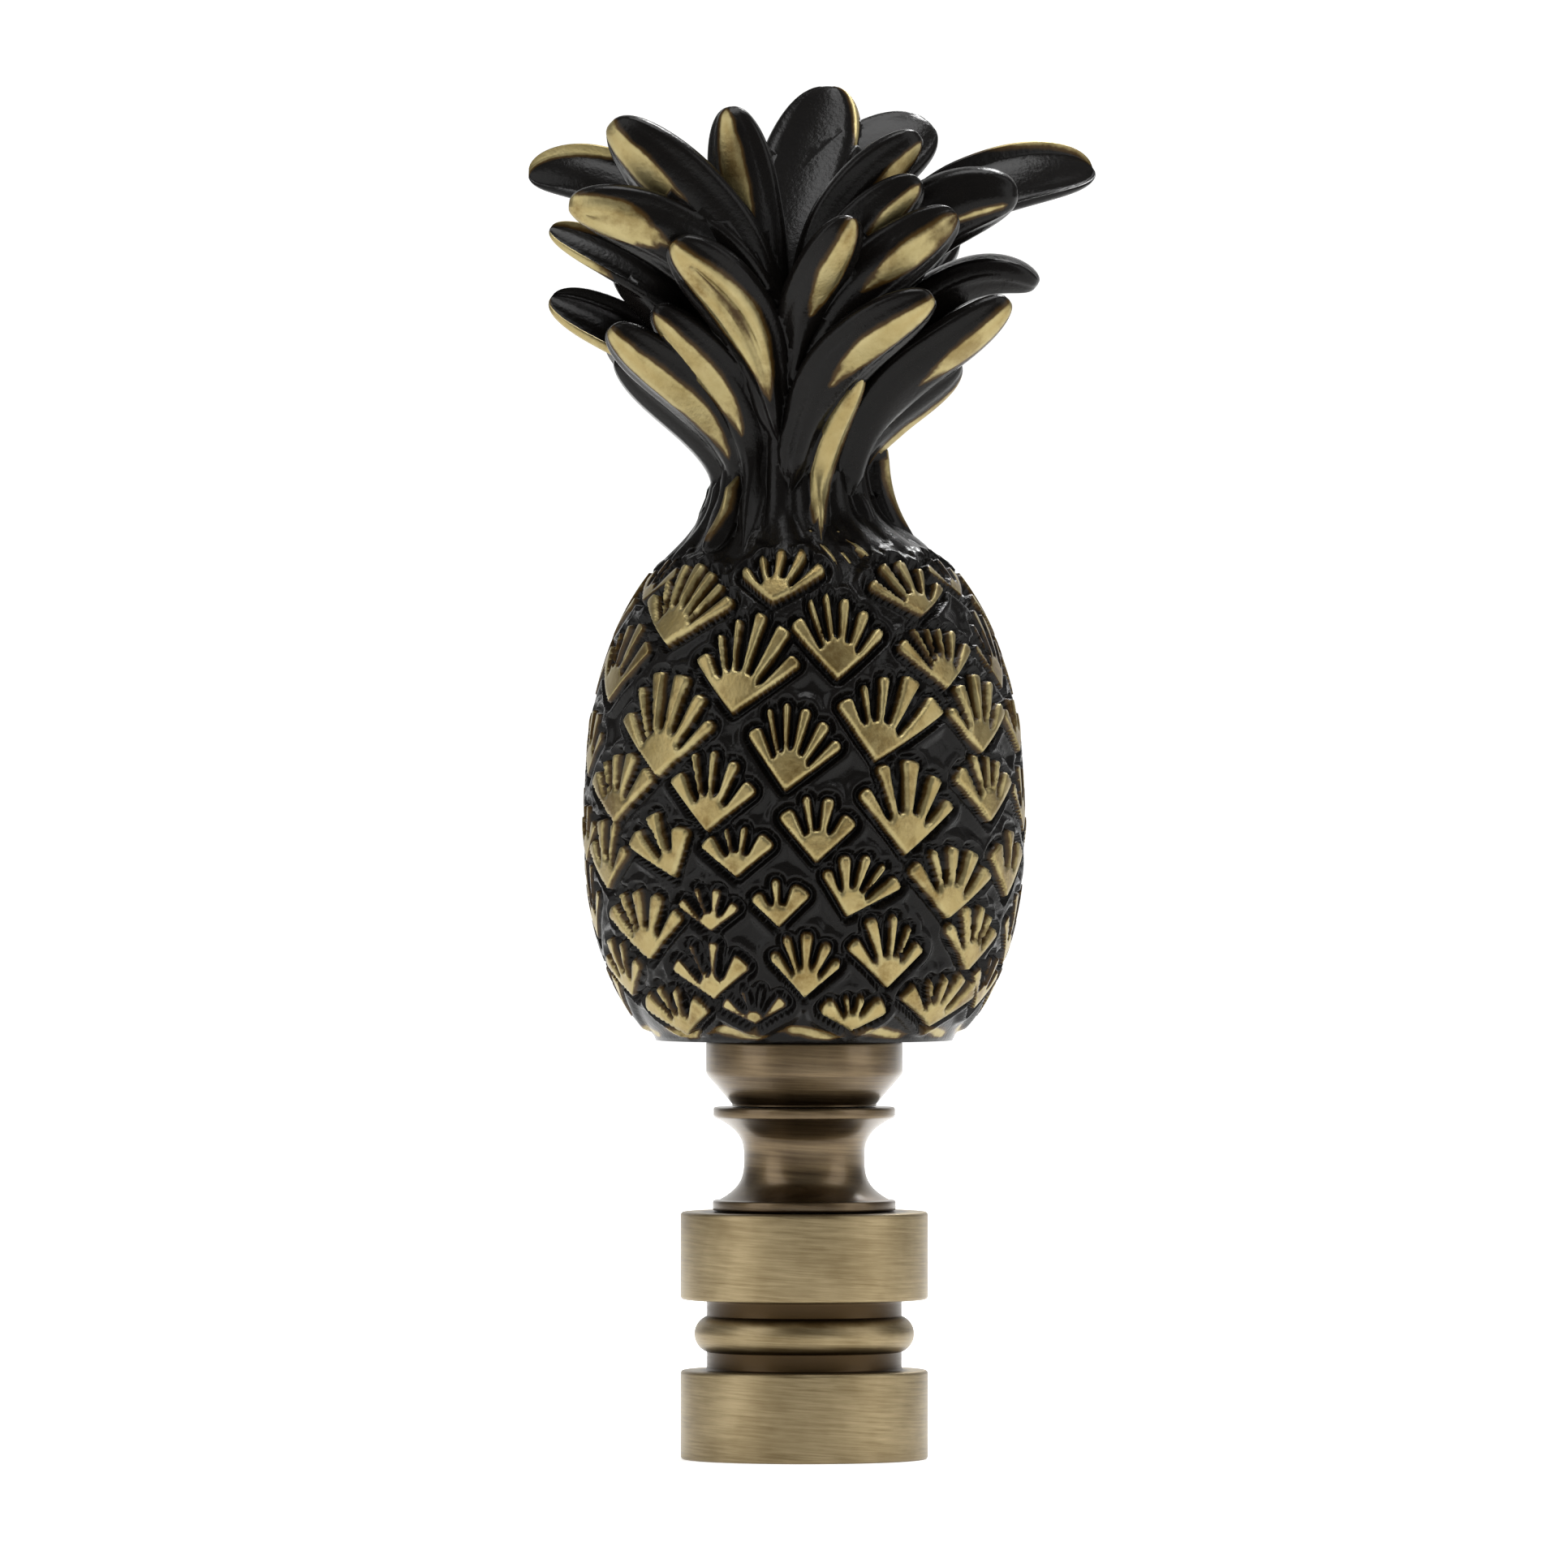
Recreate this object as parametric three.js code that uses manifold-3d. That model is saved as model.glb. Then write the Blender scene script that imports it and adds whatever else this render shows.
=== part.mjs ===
// Pineapple finial for a table lamp. A pineapple with its crown of leaves, cast in brass as one
// piece, stands on a turned cup, a waisted neck and a grooved foot with a tapped hole below.
// Millimetres, +Z up. The origin is the middle of the foot's underside, and -Y is the front.
// A turn is an angle about +Z in degrees: 0 faces the front, and 90 faces +X.

import * as THREE from 'three';
import { mergeVertices } from 'three/addons/utils/BufferGeometryUtils.js';
import Module from 'manifold-3d';

const wasm = await Module();
wasm.setup();

// Foot, turned from round bar, listed from the underside up
const barDiameter = 12.7;
const lowerDiscHeight = 4.58;
const lowerGrooveHeight = 0.87;
const beadHeight = 1.96;
const upperGrooveHeight = 0.79;
const upperDiscHeight = 4.5;
const grooveDiameter = 10;
const beadDiameter = 11.28;
const edgeBreak = 0.15;

// Tapped hole for the stud of the lamp's harp
const studDiameter = 6.35;
const studClearance = 0.025;
const holeWeb = 1.28;
const holeCountersink = 0.35;
const drillPointAngle = 118;

// Neck, a spool with a narrow waist
const neckHeight = 5.32;
const neckLipDiameter = 9.4;
const neckLipHeight = 0.55;
const neckLipStep = 0.3;
const waistDiameter = 6.2;
const waistRise = 2.7;
const neckFlangeDiameter = 9.32;
const neckFlangeHeight = 0.5;
const sweepInPower = 3.2;
const sweepOutPower = 3;

// Cup that carries the pineapple
const cupHeight = 3.33;
const cupDiameter = 10.08;
const cupFootDiameter = 7.4;
const cupFootHeight = 0.12;
const cupFlareHeight = 1.55;
const cupFlarePower = 1.15;

// Fruit, a barrel cut flat below
const fruitHeight = 25.7;
const fruitDiameter = 22.8;
const fruitWidestRise = 11;
const fruitFootDiameter = 15.8;
const shoulderDiameter = 12.5;
const fruitRoundness = 2.3;
const eyeRelief = 0.7;
const eyeRoot = 0.5;
const eyeTaper = 0.84;

// Crown of leaves, with its stem where it leaves the fruit
const stemDiameter = 8.2;
const crownOffset = -0.8;
const stemOffset = -0.5;
const rootWidth = 0.55;
const rootThickening = 0.6;

// Hairline joint between the stacked pieces
const seam = 0.05;

// Smoothness of the turned pieces and of the leaves
const turnedSides = 28;
const fruitSides = 20;
const fruitSteps = 6;
const curveSteps = 4;
const leafStations = [0, 0.3, 0.55, 0.78, 0.95];
const leafSides = 5;

// Eyes of the front half and of one side: turn, share of the fruit's height, width, height, and
// lean of the foot.
// The other half repeats them.
const eyes = [
  [-69, 0.92, 3.9, 2.4, 0],
  [-43, 0.87, 6.2, 4.2, -0.3],
  [-9, 0.93, 4.3, 2.9, 0],
  [40, 0.9, 5.1, 2.8, 0],
  [68, 0.93, 3.6, 2.4, 0],
  [-17, 0.75, 5.5, 5, -0.5],
  [11, 0.81, 4.6, 4.5, -0.3],
  [43, 0.77, 4.7, 3.6, 0],
  [73, 0.78, 4.4, 4.2, 0],
  [-68, 0.76, 5.4, 4.5, 0],
  [-40, 0.63, 6.2, 5.3, -0.3],
  [-2, 0.59, 4.6, 4.6, -0.6],
  [24, 0.65, 5.4, 4.7, -1],
  [55, 0.65, 5, 4, -0.3],
  [-79, 0.6, 4.2, 4, 0],
  [-58, 0.51, 5.4, 3.9, 0],
  [-24, 0.5, 4.6, 4.2, -0.4],
  [4, 0.43, 3.6, 3.7, -0.2],
  [29, 0.47, 5.2, 5, -0.4],
  [56, 0.51, 4.7, 3.8, 0],
  [82, 0.49, 4.2, 4, 0],
  [-63, 0.37, 4, 3.6, 0],
  [-41, 0.39, 3.5, 3.2, 1],
  [-18, 0.385, 3.7, 2.9, 0],
  [67, 0.36, 3.8, 3.8, 0],
  [16, 0.315, 4.1, 3.3, -0.9],
  [43, 0.325, 5.3, 4.1, -0.3],
  [-81, 0.28, 4, 4.2, 0],
  [-7, 0.28, 2.7, 2.6, 0],
  [-26, 0.265, 3.5, 2.4, 0],
  [-49, 0.24, 5.3, 4, 0],
  [1, 0.155, 3.5, 3.4, -0.2],
  [24, 0.18, 4, 3.7, 0.2],
  [54, 0.21, 4.1, 3.6, 0],
  [82, 0.22, 4, 3.8, 0],
  [-66, 0.145, 4, 3, 0],
  [-29, 0.14, 4.5, 3, 0],
  [71, 0.12, 3.6, 3.1, 0],
  [-17, 0.068, 3.9, 2, 0],
  [16, 0.06, 3.7, 1.9, 0],
  [47, 0.085, 5.4, 2.8, 0],
  [-46, 0.06, 4.6, 2.5, 0],
  [91, 0.87, 4, 3.4, 0],
  [91, 0.745, 2.8, 3.2, 0],
  [79, 0.635, 3.6, 3.2, 0],
  [101, 0.42, 3.6, 3.4, 0],
  [92, 0.1, 3.8, 3, 0],
];

// Shield outline of an eye, in halves of its width and height, from its pointed foot
const shield = [[0, -1], [0.95, 0], [0.6, 0.95], [-0.6, 0.95], [-0.95, 0]];

// Outline of the stem: radius as a share of its own at the waist, and rise above the crown's foot
const stemOutline = [
  [1.6, -1.2], [1.49, -0.3], [1.32, 0.5], [1.1, 2], [1, 4], [1, 8], [0.83, 10.5], [0.49, 12],
];

// Leaves that show from the front. Root: turn, reach from the crown's axis, rise above its foot.
// Tip: turn, reach, rise, slope in degrees. Then width, thickness, roll, hollow of the inner face.
const frontLeaves = [
  [-80, 2.5, 8, -98, 13.5, 18.8, -12, 3.4, 1.8, -60, 1],
  [-8, 3.4, 5.5, -62, 10.3, 21.2, 50, 4.4, 2.3, 28, 0.3],
  [-14, 3.4, 6, -45, 4.3, 22.1, 84, 3.6, 2.2, 20, 0.2],
  [160, -3, 7.5, 160, 5.9, 23.4, 62, 5.2, 2, 0, 0.1],
  [122, -1, 8, 122, 8.6, 21.4, 25, 4.8, 2, 45, 0.3],
  [10, 3, 9, 62, 7.6, 20.6, 45, 3.4, 1.8, -20, 0.2],
  [75, 2.5, 8, 106, 16.3, 19.2, 0, 3.9, 1.8, 55, 1],
  [60, 3, 7, 78, 12, 17.6, 0, 4, 2.8, -20, 0.2],
  [8, 3.5, 6, 52, 10.8, 16.6, 48, 3.4, 2, -40, 0.2],
  [0, 3.5, 6.5, 20, 9.4, 16.3, 60, 3, 1.8, 0, 0.2],
  [8, 3.2, 8, 48, 9, 18.3, 50, 3.2, 1.8, -30, 0.2],
  [-14, 3.4, 6, -62, 12.7, 17, 8, 3.7, 2.2, 45, 0.2],
  [-60, 3, 5, -80, 12.4, 15.9, 25, 2.8, 1.8, -50, 1],
  [-6, 3.7, 4.5, -38, 9.6, 15.1, 42, 3.5, 2.2, 25, 0.2],
  [-12, 3.9, 1.5, -52, 8.7, 11.8, 50, 2.9, 1.8, 25, 0.2],
  [-48, 3.5, -0.6, -60, 10.5, 10.8, 45, 3.2, 1.9, 35, 0.2],
  [-84, 3.3, -0.3, -88, 12, 12.3, 55, 2.7, 1.8, -50, 1],
  [0, 3.8, 2, 42, 11, 12.3, 35, 3.3, 1.9, -25, 0.2],
  [45, 3.4, 1, 66, 12.3, 12.2, 45, 3.3, 1.9, -25, 0.2],
  [80, 3, 4, 85, 12.8, 13, -35, 3.4, 2.4, 0, 0.2],
  [52, 2.8, -0.8, 72, 9.3, 9, 45, 4.2, 2, -50, 0.2],
  [17, 3.9, -1, 33, 6.9, 8.4, 60, 2.1, 1.9, -20, 0.2],
];

// Broad inner leaves that close the gaps between the others, in the same order
const innerLeaves = [
  [-30, 2.2, 5, -48, 7.4, 16.5, 55, 6, 1.6, 0, 0.2],
  [35, 2.2, 5, 55, 8.6, 15.6, 50, 6, 1.6, 0, 0.2],
];

// Leaves of the back in three tiers, plainer than the front: turns, then as in the rows above
const backTiers = [
  { turns: [112, 140, 168, 196, 224, 250], root: [3.6, 0], tip: [10.8, 11.4, 48], width: 3.4 },
  { turns: [126, 154, 182, 210, 236], root: [3, 2], tip: [10.6, 15.6, 40], width: 3.6 },
  { turns: [200, 228], root: [1.8, 4.8], tip: [8.2, 19.8, 55], width: 4.6 },
];
const backLeafThickness = 2;
const backLeafHollow = 0.6;

const inRadians = THREE.MathUtils.degToRad;
const power = (base, exponent) => Math.pow(Math.max(base, 0), exponent);

// Welds shared corners and drops the faces that a lathe collapses on its axis
function weld(geometry) {
  geometry.deleteAttribute('normal');
  geometry.deleteAttribute('uv');
  const welded = mergeVertices(geometry);
  const corners = welded.index.array;
  const kept = [];
  for (let i = 0; i < corners.length; i += 3) {
    const [a, b, c] = corners.slice(i, i + 3);
    if (a !== b && b !== c && c !== a) kept.push(a, b, c);
  }
  welded.setIndex(kept);
  return welded;
}

// Turns a profile of [radius, height] pairs about +Z
function turned(profile, sides) {
  const points = profile.map(([radius, height]) => new THREE.Vector2(radius, height));
  return weld(new THREE.LatheGeometry(points, sides).rotateX(Math.PI / 2));
}

// Points of a curve that is given as a function of a share from 0 to 1
function along(curve, steps = curveSteps) {
  return Array.from({ length: steps + 1 }, (_, i) => curve(i / steps));
}

// Foot: two discs with a bead between them in a groove, and the tapped hole with its drill point
const footHeight = lowerDiscHeight + lowerGrooveHeight + beadHeight + upperGrooveHeight + upperDiscHeight;

function footProfile() {
  const discRadius = barDiameter / 2;
  const grooveRadius = grooveDiameter / 2;
  const holeRadius = studDiameter / 2 + studClearance;
  const holeTop = footHeight - holeWeb;
  const holeShoulder = holeTop - holeRadius / Math.tan(inRadians(drillPointAngle / 2));
  const discTop = lowerDiscHeight;
  const beadRadius = beadHeight / 2;
  const beadCentre = beadDiameter / 2 - beadRadius;
  const beadMiddle = discTop + lowerGrooveHeight + beadRadius;
  const beadReach = Math.acos(THREE.MathUtils.clamp((grooveRadius - beadCentre) / beadRadius, 0, 1));
  const upperDiscFoot = footHeight - upperDiscHeight;
  const bead = (share) => {
    const angle = beadReach * (2 * share - 1);
    return [beadCentre + beadRadius * Math.cos(angle), beadMiddle + beadRadius * Math.sin(angle)];
  };
  return [
    [0, holeTop],
    [holeRadius, holeShoulder],
    [holeRadius, holeCountersink],
    [holeRadius + holeCountersink, 0],
    [discRadius - edgeBreak, 0],
    [discRadius, edgeBreak],
    [discRadius, discTop - edgeBreak],
    [discRadius - edgeBreak, discTop],
    [grooveRadius, discTop],
    ...along(bead),
    [grooveRadius, upperDiscFoot],
    [discRadius - edgeBreak, upperDiscFoot],
    [discRadius, upperDiscFoot + edgeBreak],
    [discRadius, footHeight - edgeBreak],
    [discRadius - edgeBreak, footHeight],
    [0, footHeight],
  ];
}

// Neck: a lip, a hollow sweep in to the waist, and a sharper sweep out to the flange
function neckProfile() {
  const waistRadius = waistDiameter / 2;
  const lipRadius = neckLipDiameter / 2;
  const flangeRadius = neckFlangeDiameter / 2;
  const flangeFoot = neckHeight - neckFlangeHeight;
  const sweepIn = (share) => [
    waistRadius + (lipRadius - neckLipStep - waistRadius) * power(1 - share, sweepInPower),
    neckLipHeight + (waistRise - neckLipHeight) * share,
  ];
  const sweepOut = (share) => [
    waistRadius + (flangeRadius - waistRadius) * power(share, sweepOutPower),
    waistRise + (flangeFoot - waistRise) * share,
  ];
  return [
    [0, 0],
    [lipRadius, 0],
    [lipRadius, neckLipHeight],
    ...along(sweepIn),
    ...along(sweepOut).slice(1),
    [flangeRadius, neckHeight],
    [0, neckHeight],
  ];
}

// Cup: a narrow foot that flares out to a straight wall
function cupProfile() {
  const footRadius = cupFootDiameter / 2;
  const wallRadius = cupDiameter / 2;
  const flare = (share) => [
    footRadius + (wallRadius - footRadius) * (1 - power(1 - share, cupFlarePower)),
    cupFootHeight + cupFlareHeight * share,
  ];
  return [[0, 0], [footRadius, 0], ...along(flare), [wallRadius, cupHeight], [0, cupHeight]];
}

// Fruit: a superellipse from the flat foot to the shoulder, widest at fruitWidestRise.
// Its half height on each side is the one that brings it to the foot's or the shoulder's radius.
function fruitHalfHeight(rise, endDiameter) {
  return rise / power(1 - power(endDiameter / fruitDiameter, fruitRoundness), 1 / fruitRoundness);
}

const lowerHalfHeight = fruitHalfHeight(fruitWidestRise, fruitFootDiameter);
const upperHalfHeight = fruitHalfHeight(fruitHeight - fruitWidestRise, shoulderDiameter);

function fruitRadius(height) {
  const rise = height - fruitWidestRise;
  const share = Math.abs(rise) / (rise < 0 ? lowerHalfHeight : upperHalfHeight);
  return (fruitDiameter / 2) * power(1 - power(share, fruitRoundness), 1 / fruitRoundness);
}

// A point that stands proud of the fruit's outline by lift, square to its surface
function onFruit(turn, height, lift) {
  const step = fruitHeight / 500;
  const slope = (fruitRadius(height + step) - fruitRadius(height - step)) / (2 * step);
  const slant = Math.hypot(1, slope);
  const radius = fruitRadius(height) + lift / slant;
  return [radius * Math.sin(turn), -radius * Math.cos(turn), height - (lift * slope) / slant];
}

// A closed solid from its corners and its faces, each face given by three corner numbers
function solidOf(corners, faces) {
  const vertProperties = new Float32Array(corners.flat());
  const triVerts = new Uint32Array(faces.flat());
  return new wasm.Manifold(new wasm.Mesh({ numProp: 3, vertProperties, triVerts }));
}

// Faces of a stack of rings of corners, closed by one corner below and one above
function ringFaces(rings, sides) {
  const below = rings * sides;
  const above = below + 1;
  const last = (rings - 1) * sides;
  const faces = [];
  for (let i = 0; i < sides; i += 1) {
    const next = (i + 1) % sides;
    faces.push([below, next, i], [above, last + i, last + next]);
    for (let ring = 0; ring < rings - 1; ring += 1) {
      const low = ring * sides;
      const high = low + sides;
      faces.push([low + i, low + next, high + next], [low + i, high + next, high + i]);
    }
  }
  return faces;
}

// Eye: a shield-shaped pad with sloping sides, rooted in the ground between the eyes
function eyeSolid([turn, share, width, height, lean], backTurn) {
  const middle = share * fruitHeight;
  const radius = fruitRadius(middle);
  const corner = ([across, up], lift, size) => {
    const shift = lean * (1 - up) / 2;
    const along = (across * size * width / 2 + shift) / radius;
    return onFruit(inRadians(turn + backTurn) + along, middle + up * size * height / 2, lift);
  };
  const foot = shield.map((point) => corner(point, -eyeRelief - eyeRoot, 1));
  const top = shield.map((point) => corner(point, 0, eyeTaper));
  const corners = [...foot, ...top, corner([0, 0], -eyeRelief - eyeRoot, 1), corner([0, 0], 0, eyeTaper)];
  return solidOf(corners, ringFaces(2, shield.length));
}

// Leaf: a tongue along a curved spine that leaves its root upright and arrives at its tip with
// the tip's slope. Its outer face is rounded, and its inner face is hollowed by a share.
function leafSolid([rootTurn, rootReach, rootRise, tipTurn, tipReach, tipRise, tipSlope,
  width, thickness, roll, hollow]) {
  const chord = Math.hypot(tipReach - rootReach, tipRise - rootRise);
  const rootPull = 0.45 * chord;
  const tipPull = 0.35 * chord;
  const slope = inRadians(tipSlope);
  const spine = new THREE.CubicBezierCurve(
    new THREE.Vector2(rootReach, rootRise),
    new THREE.Vector2(rootReach, rootRise + rootPull),
    new THREE.Vector2(tipReach - tipPull * Math.cos(slope), tipRise - tipPull * Math.sin(slope)),
    new THREE.Vector2(tipReach, tipRise),
  );
  const turnAt = (share) => inRadians(THREE.MathUtils.lerp(rootTurn, tipTurn, share));
  const placeAt = (share) => {
    const { x: reach, y: rise } = spine.getPoint(share);
    const turn = turnAt(share);
    return new THREE.Vector3(crownOffset + reach * Math.sin(turn), -reach * Math.cos(turn), rise);
  };
  const corners = [];
  for (const share of leafStations) {
    const step = 0.01;
    const tangent = placeAt(Math.min(share + step, 1)).sub(placeAt(Math.max(share - step, 0))).normalize();
    const across = new THREE.Vector3(Math.cos(turnAt(share)), Math.sin(turnAt(share)), 0);
    const outward = across.clone().cross(tangent).normalize();
    const rolled = inRadians(roll) * Math.min(1.6 * share, 1);
    outward.applyAxisAngle(tangent, rolled);
    across.crossVectors(outward, tangent);
    const rounding = Math.sqrt(1 - Math.max((share - 0.72) / 0.28, 0) ** 2);
    const growth = THREE.MathUtils.smoothstep(share, 0, 0.6);
    const halfWidth = (width / 2) * THREE.MathUtils.lerp(rootWidth, 1, growth) * rounding;
    const halfThickness = (thickness / 2) * (1 + rootThickening * (1 - share) ** 2) * rounding ** 0.8;
    for (let i = 0; i < leafSides; i += 1) {
      const angle = Math.PI * (0.5 + (2 * i) / leafSides);
      const inner = Math.sin(angle) < 0 ? hollow * 1.15 * Math.sin(angle) ** 4 : 0;
      corners.push(placeAt(share)
        .addScaledVector(across, halfWidth * Math.cos(angle))
        .addScaledVector(outward, halfThickness * (Math.sin(angle) + inner))
        .toArray());
    }
  }
  corners.push(placeAt(0).toArray(), placeAt(1).toArray());
  return solidOf(corners, ringFaces(leafStations.length, leafSides));
}

// Leaves of the back, from their tiers. Every other one of a tier reaches a little less.
function backLeaves() {
  return backTiers.flatMap(({ turns, root, tip: [reach, rise, slope], width }) =>
    turns.map((turn, i) => {
      const shorter = i % 2;
      return [turn, ...root, turn, reach - shorter, rise - shorter, slope, width,
        backLeafThickness, 0, backLeafHollow];
    }));
}

// The stem that the leaves grow from: it flares into the fruit and ends between the inner leaves
function crownStem() {
  const outline = stemOutline.map(([share, rise]) => [share * stemDiameter / 2, rise]);
  const [, foot] = outline[0];
  const [, top] = outline[outline.length - 1];
  return turned([[0, foot], ...outline, [0, top]], turnedSides / 2);
}

function manifoldOf(geometry) {
  const vertProperties = geometry.attributes.position.array;
  const triVerts = new Uint32Array(geometry.index.array);
  return new wasm.Manifold(new wasm.Mesh({ numProp: 3, vertProperties, triVerts }));
}

// Pineapple: ground barrel, eyes, stem and leaves, joined as one casting
function pineappleGeometry() {
  const ground = along((share) => {
    const height = share * fruitHeight;
    return [fruitRadius(height) - eyeRelief, height];
  }, fruitSteps);
  let casting = manifoldOf(turned([[0, 0], ...ground, [0, fruitHeight]], fruitSides));
  for (const backTurn of [0, 180]) {
    for (const eye of eyes) casting = casting.add(eyeSolid(eye, backTurn));
  }
  let crown = manifoldOf(crownStem().translate(stemOffset, 0, 0));
  for (const leaf of [...frontLeaves, ...innerLeaves, ...backLeaves()]) crown = crown.add(leafSolid(leaf));
  // Gaps that the leaves close off inside the casting are filled: each is a shell turned inside out
  const [solid] = casting.add(crown.translate([0, 0, fruitHeight])).decompose()
    .filter((shell) => shell.volume() > 0);
  const { vertProperties, triVerts } = solid.getMesh();
  const geometry = new THREE.BufferGeometry();
  geometry.setAttribute('position', new THREE.BufferAttribute(vertProperties, 3));
  geometry.setIndex(new THREE.BufferAttribute(triVerts, 1));
  return geometry;
}

const castBrass = new THREE.MeshStandardMaterial({ color: 0x4a3c20, roughness: 0.35, metalness: 1 });
const darkBrass = new THREE.MeshStandardMaterial({ color: 0x5a4424, roughness: 0.35, metalness: 1 });
const brushedBrass = new THREE.MeshStandardMaterial({ color: 0x8a7038, roughness: 0.4, metalness: 1 });

const finial = new THREE.Group();

// Adds a piece at a height above the underside
function stand(name, geometry, material, height) {
  geometry.computeVertexNormals();
  const mesh = new THREE.Mesh(geometry, material);
  mesh.name = name;
  mesh.position.z = height;
  finial.add(mesh);
}

const neckSeat = footHeight + seam;
const cupSeat = neckSeat + neckHeight + seam;
const fruitSeat = cupSeat + cupHeight + seam;

stand('threaded_base', turned(footProfile(), turnedSides), brushedBrass, 0);
stand('neck_spool', turned(neckProfile(), turnedSides), darkBrass, neckSeat);
stand('cup_collar', turned(cupProfile(), turnedSides), darkBrass, cupSeat);
stand('pineapple', pineappleGeometry(), castBrass, fruitSeat);

export default finial;
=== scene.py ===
# %% [markdown]
# # Pineapple lamp finial
#
# The finial screws on to the top of a table lamp. A pineapple with its crown of leaves is cast in
# brass, blackened, and rubbed until the high spots shine. It stands on three turned pieces: a cup,
# a waisted spool and a grooved foot with a tapped hole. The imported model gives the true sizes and
# places, and this scene makes the fine surfaces and the finishes around it.
#
# Every shape below is worked out as whole arrays in numpy, in millimetres, in the model's frame:
# +Z is up, the front faces -Y, and a turn is an angle about +Z, 0 at the front and 90 at +X.

from dataclasses import dataclass

import bpy
import numpy as np
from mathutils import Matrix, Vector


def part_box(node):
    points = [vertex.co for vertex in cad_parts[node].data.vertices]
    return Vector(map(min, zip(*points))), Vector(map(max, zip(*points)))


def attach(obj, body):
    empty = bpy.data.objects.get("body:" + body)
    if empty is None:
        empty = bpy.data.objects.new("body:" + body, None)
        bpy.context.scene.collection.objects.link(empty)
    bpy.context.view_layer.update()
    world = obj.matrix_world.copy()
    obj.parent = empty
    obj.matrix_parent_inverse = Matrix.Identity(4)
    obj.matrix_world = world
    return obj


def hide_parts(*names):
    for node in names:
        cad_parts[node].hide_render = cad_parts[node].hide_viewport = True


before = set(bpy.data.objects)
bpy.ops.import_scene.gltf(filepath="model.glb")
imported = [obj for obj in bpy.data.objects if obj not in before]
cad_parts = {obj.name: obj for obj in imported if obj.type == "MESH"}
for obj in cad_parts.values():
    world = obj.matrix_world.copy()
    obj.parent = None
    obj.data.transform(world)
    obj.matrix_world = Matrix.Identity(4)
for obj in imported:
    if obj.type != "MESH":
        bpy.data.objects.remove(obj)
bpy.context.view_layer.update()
MM = 0.001


def node_box(name):
    """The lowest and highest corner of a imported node, in millimetres."""
    return [np.array(corner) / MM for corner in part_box(name)]


for name in sorted(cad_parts):
    low, high = node_box(name)
    print(f"{name}: {np.round(high - low, 2)} mm, from height {low[2]:.2f}")

# %% [markdown]
# ## Helpers
#
# A surface is a grid of points: rings that are stacked along a path, each with the same number of
# sides. Closing it takes two more points, one at each end, so that no hole and no double corner is
# left. Blender's own tools could spin and sculpt such forms, but a formula gives true sizes and is
# easy to change. One function turns a grid into a mesh. It also stores a value for each point,
# because the finish has to know how far a point lies inside a rubbed patch.

# %% Meshes from grids
def ring_faces(rings, sides):
    """Quads between neighbouring rings, and a fan of triangles to a point before and after them."""
    side = np.arange(sides)
    after = np.roll(side, -1)
    start = np.arange(rings - 1)[:, None] * sides
    quads = np.stack([start + side, start + after, start + sides + after, start + sides + side], -1)
    first, last = rings * sides, rings * sides + 1
    below = np.stack([np.full(sides, first), after, side], -1)
    top = (rings - 1) * sides
    above = np.stack([np.full(sides, last), side + top, after + top], -1)
    return quads.reshape(-1, 4).tolist() + below.tolist() + above.tolist()


def closed_surface(name, grid, first, last, rubbed=None):
    """A closed smooth mesh from a grid of rings in millimetres and its two end points."""
    rings, sides = grid.shape[:2]
    points = np.vstack([grid.reshape(-1, 3), first, last]) * MM
    mesh = bpy.data.meshes.new(name)
    mesh.from_pydata(points.tolist(), [], ring_faces(rings, sides))
    mesh.shade_smooth()
    if rubbed is not None:
        layer = mesh.attributes.new("rubbed", "FLOAT", "POINT")
        ends = [rubbed[0].mean(), rubbed[-1].mean()]
        layer.data.foreach_set("value", np.append(rubbed.ravel(), ends).astype(np.float32))
    piece = bpy.data.objects.new(name, mesh)
    bpy.context.collection.objects.link(piece)
    return piece


def smoothstep(low, high, value):
    """0 below low, 1 above high, and an even S between them."""
    share = np.clip((value - low) / (high - low), 0, 1)
    return share * share * (3 - 2 * share)


# %% [markdown]
# A finish is a small tree of nodes. It could be drawn by hand in the shader editor, but written
# down it can be read and changed line by line, so one function adds any node with its settings and
# links. Colours are written as a screen shows them, and one function turns them into the linear
# light that Blender counts in.

# %% Nodes
def linear(code):
    """An sRGB hex colour as linear red, green, blue and alpha."""
    channels = np.array([int(code[i:i + 2], 16) for i in (1, 3, 5)]) / 255
    low = channels / 12.92
    high = ((channels + 0.055) / 1.055) ** 2.4
    return (*np.where(channels <= 0.04045, low, high), 1.0)


def add(tree, kind, settings=None, **links):
    """Adds a node, sets its properties, and fills its inputs with values or other nodes' outputs.
    An input is given by its name, or by _ and its number where two share a name."""
    node = tree.nodes.new("ShaderNode" + kind)
    for key, value in (settings or {}).items():
        setattr(node, key, value)
    for key, value in links.items():
        name = key.replace("_", " ")
        socket = node.inputs[int(key[1:])] if key[1:].isdigit() else node.inputs[name]
        if isinstance(value, bpy.types.NodeSocket):
            tree.links.new(value, socket)
        else:
            socket.default_value = value
    return node


def new_material(name):
    """An empty node material: its tree and its Principled shader."""
    material = bpy.data.materials.new(name)
    material.use_nodes = True
    tree = material.node_tree
    return material, tree, tree.nodes["Principled BSDF"]


# %% [markdown]
# ## Camera and floor
#
# The photograph looks straight at the front with a long lens, so upright edges stay upright. The
# camera stands 0.9 m away, a little above the finial's middle, and needs no shift. The floor sweeps
# up behind into a backdrop, pale all over, as on a studio table.

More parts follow.
